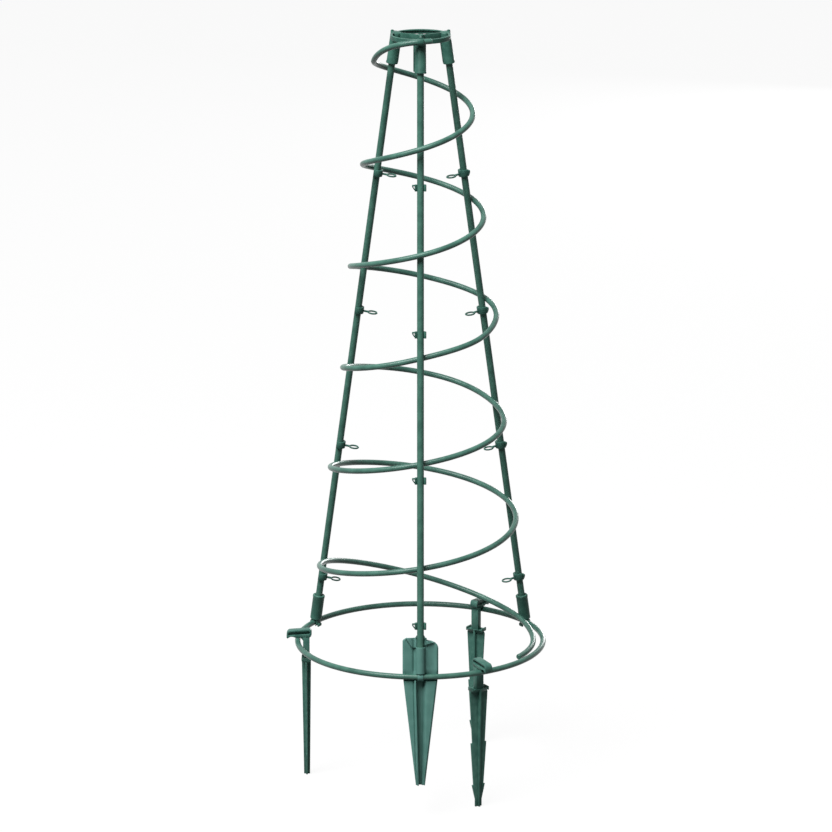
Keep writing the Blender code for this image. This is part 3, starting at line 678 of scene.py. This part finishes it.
grip_frame = crown_frame.inverted() @ coil_top_frame
crown_shapes.append(moved(rod_grip(CROWN_GRIP_WIDTH, GRIP_FACING_UP), grip_frame))
crown_shapes.append(moved(block(GRIP_NECK_LOW, GRIP_NECK_HIGH, GRIP_NECK_ROUND), grip_frame))
put_together("crown_moulding", crown_shapes, crown_frame, crown_skin, "tower", "crown")


# Rear feet
# Two mouldings, one for each rear leg: a round socket that takes the tube from above, over an
# open grip that snaps down on the ring, with a tab on its inner side to prise it off.

FOOT_RADIUS = 9.5 * MM
FOOT_TOP = 47.8 * MM
FOOT_FLOOR = 9.0 * MM
FOOT_BOTTOM = 5.0 * MM
FOOT_BEAD = 0.4 * MM
FOOT_GRIP_WIDTH = 12.0 * MM
GRIP_FACING_DOWN = 270.0
PRISE_TAB = [
    (-5.2 * MM, 0.5 * MM), (-9.0 * MM, -0.4 * MM), (-10.2 * MM, -2.4 * MM), (-10.0 * MM, -5.0 * MM),
    (-8.9 * MM, -6.1 * MM), (-7.3 * MM, -5.8 * MM), (-6.9 * MM, -3.6 * MM), (-5.2 * MM, -2.6 * MM),
]
PRISE_TAB_WIDTH = 9.0 * MM
PRISE_TAB_ROUND = 0.5 * MM
OUTER_LIP = [(3.7 * MM, -5.6 * MM), (5.2 * MM, -4.7 * MM), (6.4 * MM, -6.5 * MM), (5.5 * MM, -7.3 * MM)]
OUTER_LIP_WIDTH = 11.0 * MM
OUTER_LIP_ROUND = 0.3 * MM


def foot_socket():
    """A blind socket that is open at the top, with a bead round its mouth."""
    return turned([
        (PROFILE_CORE, FOOT_BOTTOM), (FOOT_RADIUS - 1.6 * MM, FOOT_BOTTOM),
        (FOOT_RADIUS, FOOT_BOTTOM + 1.6 * MM), (FOOT_RADIUS, FOOT_TOP - 4.4 * MM),
        (FOOT_RADIUS + FOOT_BEAD, FOOT_TOP - 3.6 * MM),
        (FOOT_RADIUS + FOOT_BEAD, FOOT_TOP - 0.7 * MM), (FOOT_RADIUS - FOOT_BEAD, FOOT_TOP),
        (BORE_RADIUS + 0.7 * MM, FOOT_TOP), (BORE_RADIUS, FOOT_TOP - 0.9 * MM),
        (BORE_RADIUS, FOOT_FLOOR), (PROFILE_CORE, FOOT_FLOOR),
    ], SOCKET_SIDES)


foot_skin = green_plastic(
    "foot_moulding", deep=(0.036, 0.114, 0.088), light=(0.060, 0.160, 0.124),
    roughness=0.42, mottle_scale=80.0, grain=0.35,
)
for side in ("rear_right", "rear_left"):
    foot_shapes = [
        foot_socket(),
        rod_grip(FOOT_GRIP_WIDTH, GRIP_FACING_DOWN),
        moved(plate(OUTER_LIP, OUTER_LIP_WIDTH, OUTER_LIP_ROUND), SIDEWAYS),
        moved(plate(PRISE_TAB, PRISE_TAB_WIDTH, PRISE_TAB_ROUND), SIDEWAYS),
    ]
    put_together(
        side + "_foot_moulding", foot_shapes, leg_frame(LEG_AZIMUTHS[side], 0.0),
        foot_skin, "tower", side + "_foot",
    )


# Front foot
# One moulding: a socket for the front leg on the face of a broad blade that is pushed into the
# soil. The blade is folded forward round the leg at its top, a tall rib and a low swell stiffen
# it below, and a half-round hook holds the ring.

BLADE_TOP = 62.5 * MM
BLADE_SHOULDER = 5.0 * MM
BLADE_BOTTOM = -175.0 * MM
BLADE_HALF_WIDTH = 28.5 * MM
BLADE_TIP_HALF_WIDTH = 7.25 * MM
BLADE_THICKNESS = 2.8 * MM
BLADE_FACE = -4.8 * MM
BLADE_ROUND = 0.5 * MM
BLADE_ROWS = 150
BLADE_COLUMNS = 76
LEFT_CORNER_WIDTH = 6.3 * MM
LEFT_CORNER_HEIGHT = 4.0 * MM
RIGHT_TOP_LOWER = 3.2 * MM
RIGHT_CORNER_WIDTH = 18.5 * MM
RIGHT_CORNER_HEIGHT = 14.3 * MM
HUMP_HEIGHT = 4.0 * MM
HUMP_HALF_WIDTH = 5.5 * MM
HUMP_SLOPE = 3.5 * MM
HUMP_LIFT_DEPTH = 20.0 * MM
ABOVE_RING_RUN = 12.0 * MM
WING_FOLD = 2.2 * MM
CREASE = 10.3 * MM
CREASE_DEPTH = 1.8 * MM
CREASE_WIDTH = 2.2 * MM
RIGHT_FILL = 3.2 * MM
RIGHT_FILL_START = 7.0 * MM
RIGHT_FILL_RUN = 15.0 * MM
HOOD_STEP = 3.0 * MM
HOOD_STEP_RUN = 1.6 * MM
HOOD_FADE_START = 21.0 * MM
HOOD_FADE_END = 27.0 * MM
HOOD_LEFT_LEVEL = 45.3 * MM
HOOD_LEFT_START = -13.3 * MM
HOOD_LEFT_SLOPE = 1.52
HOOD_RIGHT_LEVEL = 49.1 * MM
HOOD_RIGHT_START = 5.9 * MM
HOOD_RIGHT_SLOPE = 0.29
UNDER_RING_START = -4.0 * MM
UNDER_RING_RUN = 3.0 * MM
PANEL_STEP = 3.0 * MM
RIGHT_SWELL = 2.0 * MM
SWELL_START_SHARE = 0.3
SWELL_RUN_SHARE = 1.3
SWELL_FALL = 0.8
CHANNEL_DEPTH = 7.5 * MM
CHANNEL_SIDE = 1.5 * MM
CHANNEL_FAR_SIDE_SHARE = 0.8
RIB_GROOVE = 1.3 * MM
RIB_GROOVE_PLACE = 2.4 * MM
RIB_GROOVE_WIDTH = 1.1 * MM
RIM_TURN = {-1.0: 1.2 * MM, 1.0: 2.4 * MM}
RIM_WIDTH = 2.6 * MM
LEG_CHANNEL_RADIUS = LEG_RADIUS + 1.0 * MM
SOCKET_TUBE_RADIUS = 7.5 * MM
SOCKET_TUBE_TOP = 48.0 * MM
SOCKET_TUBE_BOTTOM = 4.8 * MM
RIB_THICKNESS = 2.5 * MM
RIB_DEPTH = 9.5 * MM
RIB_TOP = -5.5 * MM
RIB_TIP_GAP = 0.3 * MM
RIB_ROUND = 0.5 * MM
RIB_SPREAD_TOP = 8.5 * MM
RIB_SPREAD_TIP = 3.8 * MM
HOOK_OUTER_RADIUS = 6.8 * MM
HOOK_INNER_RADIUS = 4.85 * MM
HOOK_OUTER_START = 40.0
HOOK_INNER_START = 34.0
HOOK_END = -200.0
HOOK_WIDTH = 9.0 * MM
HOOK_ROUND = 0.7 * MM
FACING_OUT = Matrix(((0, 0, 1, 0), (1, 0, 0, 0), (0, 1, 0, 0), (0, 0, 0, 1)))


def blade_edges(height):
    """How far the blade reaches to its left and to its right at one height up the leg."""
    if height < BLADE_SHOULDER:
        share = (height - BLADE_BOTTOM) / (BLADE_SHOULDER - BLADE_BOTTOM)
        width = BLADE_TIP_HALF_WIDTH + (BLADE_HALF_WIDTH - BLADE_TIP_HALF_WIDTH) * share
        return width, width
    into_corner = (height - BLADE_TOP + LEFT_CORNER_HEIGHT) / LEFT_CORNER_HEIGHT
    left = BLADE_HALF_WIDTH - LEFT_CORNER_WIDTH * max(0.0, into_corner)
    corner_start = BLADE_TOP - RIGHT_TOP_LOWER - RIGHT_CORNER_HEIGHT
    lift = held_in_unit((height - corner_start) / RIGHT_CORNER_HEIGHT)
    right = BLADE_HALF_WIDTH - RIGHT_CORNER_WIDTH * (1.0 - math.sqrt(1.0 - lift * lift))
    return left, right


def hump_height(across):
    """The blade's top edge stands a little higher behind the leg."""
    return HUMP_HEIGHT * (1.0 - eased((abs(across) - HUMP_HALF_WIDTH) / HUMP_SLOPE))


def rib_spread(height):
    """How far the rib stands to the left of the leg's axis."""
    share = (height - BLADE_BOTTOM) / (RIB_TOP - BLADE_BOTTOM)
    return RIB_SPREAD_TIP + (RIB_SPREAD_TOP - RIB_SPREAD_TIP) * share


def hood_line(across):
    """Height of the fold under the hood, which falls steeply from the left and gently from the right."""
    if across < 0.0:
        return HOOD_LEFT_LEVEL + HOOD_LEFT_SLOPE * max(HOOD_LEFT_START - across, 0.0)
    return HOOD_RIGHT_LEVEL + HOOD_RIGHT_SLOPE * max(across - HOOD_RIGHT_START, 0.0)


def depth_above_ring(across, height):
    """The two wings fold forward from a crease, and the right one is fuller beside the leg."""
    wing = held_in_unit((abs(across) - CREASE) / (BLADE_HALF_WIDTH - CREASE))
    valley = math.exp(-((across + CREASE) / CREASE_WIDTH) ** 2)
    depth = WING_FOLD * wing - CREASE_DEPTH * valley
    if across > 0.0:
        depth += RIGHT_FILL * (1.0 - eased((across - RIGHT_FILL_START) / RIGHT_FILL_RUN))
    return depth * eased(height / ABOVE_RING_RUN)


def depth_under_ring(across, height):
    """A raised panel with a groove left of the rib, a channel right of it, and a low swell."""
    spread = rib_spread(min(height, 0.0))
    from_rib = across + spread
    from_swell = across - SWELL_START_SHARE * spread
    swell = eased(from_swell / (SWELL_RUN_SHARE * spread))
    swell *= 1.0 - SWELL_FALL * held_in_unit((across - spread) / (BLADE_HALF_WIDTH - spread))
    far_side = eased(from_swell / (CHANNEL_FAR_SIDE_SHARE * spread))
    channel = eased(from_rib / CHANNEL_SIDE) * (1.0 - far_side)
    groove = math.exp(-((from_rib + RIB_GROOVE_PLACE) / RIB_GROOVE_WIDTH) ** 2)
    depth = PANEL_STEP + RIGHT_SWELL * swell - CHANNEL_DEPTH * channel - RIB_GROOVE * groove
    return depth * eased((UNDER_RING_START - height) / UNDER_RING_RUN)


def blade_depth(across, height):
    """How far the middle of the blade's sheet stands out towards the viewer."""
    face = BLADE_FACE - BLADE_THICKNESS / 2
    depth = face + depth_above_ring(across, height) + depth_under_ring(across, height)
    left, right = blade_edges(height)
    from_rim = min(across + left, right - across)
    depth -= RIM_TURN[math.copysign(1.0, across)] * (1.0 - eased(from_rim / RIM_WIDTH))
    over_fold = eased((height - hood_line(across)) / HOOD_STEP_RUN)
    fade = 1.0 - eased((abs(across) - HOOD_FADE_START) / (HOOD_FADE_END - HOOD_FADE_START))
    depth += HOOD_STEP * over_fold * fade
    if abs(across) < LEG_CHANNEL_RADIUS:
        behind_leg = -math.sqrt(LEG_CHANNEL_RADIUS ** 2 - across ** 2) - BLADE_THICKNESS / 2
        depth = min(depth, max(behind_leg, face))
    return depth


def blade_lines(way):
    """The rows of points on the blade's front, or on its back, from its tip to its top."""
    lines = []
    for row in range(BLADE_ROWS + 1):
        level = BLADE_BOTTOM + (BLADE_TOP - BLADE_BOTTOM) * row / BLADE_ROWS
        left, right = blade_edges(level)
        lifted = eased((level - BLADE_TOP + HUMP_LIFT_DEPTH) / HUMP_LIFT_DEPTH)
        line = []
        for column in range(BLADE_COLUMNS + 1):
            across = -left + (left + right) * column / BLADE_COLUMNS
            height = level + hump_height(across) * lifted
            depth = blade_depth(across, height) + way * BLADE_THICKNESS / 2
            line.append((depth, across, height))
        lines.append(line)
    return lines


def blade_sheet():
    """The blade as one bent sheet: a grid of points given its thickness."""
    bm = bmesh.new()
    front = [[bm.verts.new(point) for point in line] for line in blade_lines(1.0)]
    back = [[bm.verts.new(point) for point in line] for line in blade_lines(-1.0)]
    for face in (front, back):
        for low, high in zip(face, face[1:]):
            for column in range(BLADE_COLUMNS):
                bm.faces.new((low[column], low[column + 1], high[column + 1], high[column]))
    for row in range(BLADE_ROWS):
        for end in (0, BLADE_COLUMNS):
            bm.faces.new((front[row][end], front[row + 1][end], back[row + 1][end], back[row][end]))
    for front_line, back_line in ((front[0], back[0]), (front[-1], back[-1])):
        for column in range(BLADE_COLUMNS):
            after = column + 1
            bm.faces.new((front_line[column], front_line[after], back_line[after], back_line[column]))
    bmesh.ops.recalc_face_normals(bm, faces=bm.faces)
    return round_edges(bm, BLADE_ROUND)


def front_socket():
    """A thin blind socket that is open at the top."""
    return turned([
        (PROFILE_CORE, SOCKET_TUBE_BOTTOM), (SOCKET_TUBE_RADIUS - 0.8 * MM, SOCKET_TUBE_BOTTOM),
        (SOCKET_TUBE_RADIUS, SOCKET_TUBE_BOTTOM + 0.8 * MM),
        (SOCKET_TUBE_RADIUS, SOCKET_TUBE_TOP - 0.6 * MM),
        (SOCKET_TUBE_RADIUS - 0.6 * MM, SOCKET_TUBE_TOP), (BORE_RADIUS + 0.5 * MM, SOCKET_TUBE_TOP),
        (BORE_RADIUS, SOCKET_TUBE_TOP - 0.8 * MM), (BORE_RADIUS, FOOT_FLOOR), (PROFILE_CORE, FOOT_FLOOR),
    ], SOCKET_SIDES)


def blade_rib():
    """The tall rib, which stands out of the blade and runs down to its tip."""
    half = RIB_THICKNESS / 2
    bottom = BLADE_BOTTOM + RIB_TIP_GAP
    outline = [
        (-RIB_SPREAD_TOP - half, RIB_TOP), (-RIB_SPREAD_TIP - half, bottom),
        (-RIB_SPREAD_TIP + half, bottom), (-RIB_SPREAD_TOP + half, RIB_TOP),
    ]
    rib = moved(plate(outline, RIB_DEPTH + BLADE_THICKNESS / 2, RIB_ROUND), FACING_OUT)
    middle = BLADE_FACE + RIB_DEPTH / 2 - BLADE_THICKNESS / 4
    return moved(rib, Matrix.Translation((middle, 0.0, 0.0)))


def ring_hook():
    """The half-round hook that the ring lies in; its mouth faces up."""
    outer = arc(HOOK_OUTER_RADIUS, HOOK_OUTER_START, HOOK_END, steps=24)
    inner = arc(HOOK_INNER_RADIUS, HOOK_END, HOOK_INNER_START, steps=22)
    return moved(plate(outer + inner, HOOK_WIDTH, HOOK_ROUND), SIDEWAYS)


blade_skin = green_plastic(
    "blade_moulding", deep=(0.081, 0.199, 0.171), light=(0.102, 0.233, 0.202),
    roughness=0.40, mottle_scale=60.0, grain=0.3,
)
put_together(
    "front_foot_moulding", [blade_sheet(), front_socket(), blade_rib(), ring_hook()],
    leg_frame(LEG_AZIMUTHS["front"], 0.0), blade_skin, "tower", "front_foot",
)


# Pegs
# Three loose barbed pegs, each one moulding: a cross-shaped spike with barbs on its web, a
# dished collar, a square stem, and an arm with a long hollow in each side that lies on the ring.

PEG_AZIMUTHS = {"left": 180.0, "rear_right": 60.0, "front_right": -60.0}
PEG_RADIUS = RING_RADIUS - 14.0 * MM
PEG_LENGTH = 230.0 * MM
PEG_WEB = 3.0 * MM
PEG_WEB_ROUND = 0.45 * MM
PEG_NECK_WIDTH = 11.4 * MM
PEG_BARBS = (
    (33.4 * MM, 28.5 * MM), (37.5 * MM, 32.2 * MM), (122.0 * MM, 22.9 * MM), (122.0 * MM, 28.5 * MM),
    (193.0 * MM, 18.3 * MM), (193.0 * MM, 23.7 * MM), (218.0 * MM, 11.8 * MM),
)
PEG_TIP_WIDTH = 11.8 * MM
PEG_FIN_TOP_WIDTH = 15.0 * MM
PEG_FIN_TIP_WIDTH = 9.8 * MM
COLLAR_TOP = -30.5 * MM
COLLAR_BOTTOM = -36.5 * MM
COLLAR_ROUND = 0.35 * MM
COLLAR_STEPS = (
    (9.0 * MM, 22.0 * MM, COLLAR_BOTTOM), (12.0 * MM, 26.0 * MM, COLLAR_BOTTOM + 3.0 * MM),
    (16.0 * MM, 29.5 * MM, COLLAR_TOP - 0.8 * MM), (16.0 * MM, 29.5 * MM, COLLAR_TOP),
    (14.0 * MM, 27.5 * MM, COLLAR_TOP), (11.5 * MM, 24.0 * MM, COLLAR_TOP - 1.4 * MM),
)
COLLAR_TIP_LOW = (-7.4 * MM, -1.1 * MM, -34.0 * MM)
COLLAR_TIP_HIGH = (7.4 * MM, 1.1 * MM, -28.0 * MM)
COLLAR_TIP_ROUND = 0.6 * MM
COLLAR_TIP_PLACE = 14.2 * MM
STEM_LOW = (-5.25 * MM, -6.5 * MM, COLLAR_TOP - 2.0 * MM)
STEM_HIGH = (5.25 * MM, 6.5 * MM, 8.0 * MM)
STEM_ROUND = 0.8 * MM
ARM_WIDTH = 13.0 * MM
ARM_ROUND = 0.5 * MM
ARM_END_MIDDLE = (-4.0 * MM, 11.85 * MM)
ARM_END_HALF_SIZE = (5.0 * MM, 7.05 * MM)
ARM_UNDERSIDE = [
    (18.0 * MM, 4.8 * MM), (20.5 * MM, 5.8 * MM), (23.0 * MM, 6.4 * MM), (26.0 * MM, 6.2 * MM),
    (28.5 * MM, 4.8 * MM), (30.0 * MM, 3.5 * MM), (31.2 * MM, 3.7 * MM), (32.0 * MM, 5.0 * MM),
    (32.0 * MM, 10.0 * MM), (31.6 * MM, 12.6 * MM), (30.2 * MM, 14.8 * MM), (27.4 * MM, 16.6 * MM),
]
ARM_HOLLOW = [
    (-4.0 * MM, 15.9 * MM), (26.4 * MM, 13.9 * MM), (28.6 * MM, 12.4 * MM), (29.7 * MM, 9.4 * MM),
    (28.9 * MM, 8.8 * MM), (-4.0 * MM, 10.6 * MM), (-6.0 * MM, 11.8 * MM), (-6.0 * MM, 14.3 * MM),
]
ARM_WEB = [
    (-6.9 * MM, 8.6 * MM), (30.7 * MM, 7.0 * MM), (30.7 * MM, 11.0 * MM), (27.6 * MM, 15.0 * MM),
    (-6.9 * MM, 17.0 * MM),
]
ARM_WEB_THICKNESS = 5.0 * MM
ARM_WEB_ROUND = 0.2 * MM
ARM_FILLET = [
    (3.0 * MM, -1.0 * MM), (5.2 * MM, -1.0 * MM), (6.6 * MM, 1.6 * MM), (9.4 * MM, 4.4 * MM),
    (9.4 * MM, 5.6 * MM), (3.0 * MM, 5.6 * MM),
]
ARM_FILLET_WIDTH = 11.4 * MM
ARM_FILLET_ROUND = 0.4 * MM
WELD_DISTANCE = 0.01 * MM


def peg_web():
    """The barbed web of the spike, which lies along the ring."""
    right = [(PEG_NECK_WIDTH / 2, COLLAR_TOP - 1.0 * MM)]
    right += [(width / 2, -depth) for depth, width in PEG_BARBS]
    right.append((PEG_TIP_WIDTH / 2, -PEG_LENGTH))
    outline = right + [(-x, y) for x, y in reversed(right)]
    return moved(plate(outline, PEG_WEB, PEG_WEB_ROUND), FACING_OUT)


def peg_fin():
    """The plain fin that crosses the web."""
    top = PEG_FIN_TOP_WIDTH / 2
    tip = PEG_FIN_TIP_WIDTH / 2
    outline = [
        (top, COLLAR_TOP - 1.0 * MM), (-top, COLLAR_TOP - 1.0 * MM),
        (-tip, -PEG_LENGTH), (tip, -PEG_LENGTH),
    ]
    return moved(plate(outline, PEG_WEB, PEG_WEB_ROUND), SIDEWAYS)


def peg_collar():
    """A dish that narrows downwards."""
    bm = bmesh.new()
    rings = []
    for depth, width, height in COLLAR_STEPS:
        ring = []
        for x, y in ((-1, -1), (1, -1), (1, 1), (-1, 1)):
            ring.append(bm.verts.new((x * depth / 2, y * width / 2, height)))
        rings.append(ring)
    for low, high in zip(rings, rings[1:]):
        for corner in range(4):
            after = (corner + 1) % 4
            bm.faces.new((low[corner], low[after], high[after], high[corner]))
    bm.faces.new(list(reversed(rings[0])))
    bm.faces.new(rings[-1])
    bmesh.ops.recalc_face_normals(bm, faces=bm.faces)
    return round_edges(bm, COLLAR_ROUND)


def collar_tips():
    """The collar's two long ends, which turn up."""
    tips = []
    for way in (-1.0, 1.0):
        tip = block(COLLAR_TIP_LOW, COLLAR_TIP_HIGH, COLLAR_TIP_ROUND)
        tips.append(moved(tip, Matrix.Translation((0.0, way * COLLAR_TIP_PLACE, 0.0))))
    return tips


def pierced_plate(outlines, thickness, rounding):
    """A moulded plate in local XY with rounded rims; the second outline is a hole through it."""
    data = bpy.data.curves.new("pierced", "CURVE")
    data.dimensions = "2D"
    data.fill_mode = "BOTH"
    data.extrude = thickness / 2 - rounding
    data.bevel_depth = rounding
    data.bevel_resolution = 2
    data.offset = -rounding
    for outline in outlines:
        spline = data.splines.new("POLY")
        spline.points.add(len(outline) - 1)
        for point, (x, y) in zip(spline.points, outline):
            point.co = (x, y, 0.0, 1.0)
        spline.use_cyclic_u = True
    curve = bpy.data.objects.new("pierced", data)
    bpy.context.scene.collection.objects.link(curve)
    bpy.context.view_layer.update()
    mesh = curve.to_mesh()
    bm = bmesh.new()
    bm.from_mesh(mesh)
    curve.to_mesh_clear()
    bpy.data.objects.remove(curve, do_unlink=True)
    bmesh.ops.remove_doubles(bm, verts=bm.verts, dist=WELD_DISTANCE)
    bmesh.ops.recalc_face_normals(bm, faces=bm.faces)
    return bm


def peg_arm():
    """The arm seen from the side: a rounded inner end, a hollow down to a web, a tip past the ring."""
    middle_x, middle_z = ARM_END_MIDDLE
    half_length, half_height = ARM_END_HALF_SIZE
    half_round = arc(1.0, 90.0, 270.0, steps=14)
    inner_end = [(middle_x + half_length * x, middle_z + half_height * z) for x, z in half_round]
    return [
        moved(pierced_plate([inner_end + ARM_UNDERSIDE, ARM_HOLLOW], ARM_WIDTH, ARM_ROUND), SIDEWAYS),
        moved(plate(ARM_WEB, ARM_WEB_THICKNESS, ARM_WEB_ROUND), SIDEWAYS),
        moved(plate(ARM_FILLET, ARM_FILLET_WIDTH, ARM_FILLET_ROUND), SIDEWAYS),
    ]


peg_skin = green_plastic(
    "peg_moulding", deep=(0.041, 0.123, 0.099), light=(0.070, 0.177, 0.141),
    roughness=0.40, mottle_scale=85.0, grain=0.35,
)
for side, azimuth in PEG_AZIMUTHS.items():
    peg_shapes = [peg_web(), peg_fin(), peg_collar()] + peg_arm()
    peg_shapes.append(block(STEM_LOW, STEM_HIGH, STEM_ROUND))
    peg_shapes += collar_tips()
    put_together(
        side + "_peg_moulding", peg_shapes, tower_frame(azimuth, PEG_RADIUS, 0.0),
        peg_skin, side + "_peg", side + "_peg",
    )


# Tie clips
# Twelve small mouldings that snap on the tubes: an open collar with a release lip at one side
# of its mouth, and a short neck to a round eye that a stem or a string goes through.

CLIP_LEVELS = {"bottom": 0.080, "lower": 0.3095, "upper": 0.539, "top": 0.7685}
CLIP_TURNS = {"front": 0.0, "rear_right": 0.0, "rear_left": 20.0}
CLIP_HEIGHT = 11.0 * MM
CLIP_LIFT = 0.7 * MM
CLIP_ROUND = 0.6 * MM
CLIP_INNER_RADIUS = 5.8 * MM
CLIP_OUTER_RADIUS = 9.4 * MM
CLIP_MOUTH_HALF_ANGLE = 62.0
CLIP_NECK_LOW = (-17.4 * MM, -2.0 * MM, -1.4 * MM)
CLIP_NECK_HIGH = (-8.0 * MM, 2.0 * MM, 1.4 * MM)
CLIP_NECK_ROUND = 0.7 * MM
EYE_RING_RADIUS = 7.1 * MM
EYE_WIRE_RADIUS = 1.35 * MM
EYE_WIRE_SIDES = 10
EYE_SIDES = 36
EYE_CENTRE = -23.8 * MM
LIP_OUTLINE = [
    (-7.0 * MM, 5.9 * MM), (-12.9 * MM, 5.9 * MM), (-13.5 * MM, 5.2 * MM), (-13.3 * MM, 2.4 * MM),
    (-10.0 * MM, -2.6 * MM), (-8.2 * MM, -2.6 * MM), (-11.3 * MM, 2.6 * MM), (-11.0 * MM, 3.5 * MM),
    (-7.0 * MM, 3.5 * MM),
]
LIP_THICKNESS = 2.2 * MM
LIP_ROUND = 0.5 * MM
LIP_PLACE = 3.2 * MM


def clip_collar():
    """The open collar; its mouth faces away from the tower's axis."""
    mouth_end = 360.0 - CLIP_MOUTH_HALF_ANGLE
    outer = arc(CLIP_OUTER_RADIUS, CLIP_MOUTH_HALF_ANGLE, mouth_end, steps=28)
    inner = arc(CLIP_INNER_RADIUS, mouth_end, CLIP_MOUTH_HALF_ANGLE, steps=24)
    return moved(plate(outer + inner, CLIP_HEIGHT, CLIP_ROUND), Matrix.Translation((0.0, 0.0, CLIP_LIFT)))


def clip_eye():
    eye = hoop(EYE_RING_RADIUS, EYE_WIRE_RADIUS, EYE_WIRE_SIDES, EYE_SIDES)
    return moved(eye, Matrix.Translation((EYE_CENTRE, 0.0, 0.0)))


def clip_lip():
    lip = moved(plate(LIP_OUTLINE, LIP_THICKNESS, LIP_ROUND), FACING_OUT)
    return moved(lip, Matrix.Translation((LIP_PLACE, 0.0, 0.0)))


clip_skin = green_plastic(
    "clip_moulding", deep=(0.026, 0.088, 0.068), light=(0.046, 0.130, 0.100),
    roughness=0.42, mottle_scale=150.0, grain=0.3,
)
for side, azimuth in LEG_AZIMUTHS.items():
    for level, share in CLIP_LEVELS.items():
        clip_neck = block(CLIP_NECK_LOW, CLIP_NECK_HIGH, CLIP_NECK_ROUND)
        clip_turn = Matrix.Rotation(math.radians(CLIP_TURNS[side]), 4, "Z")
        clip_name = f"{side}_{level}_clip"
        put_together(
            clip_name + "_moulding", [clip_collar(), clip_eye(), clip_neck, clip_lip()],
            leg_frame(azimuth, CROWN_HEIGHT * share) @ clip_turn,
            clip_skin, clip_name, clip_name,
        )
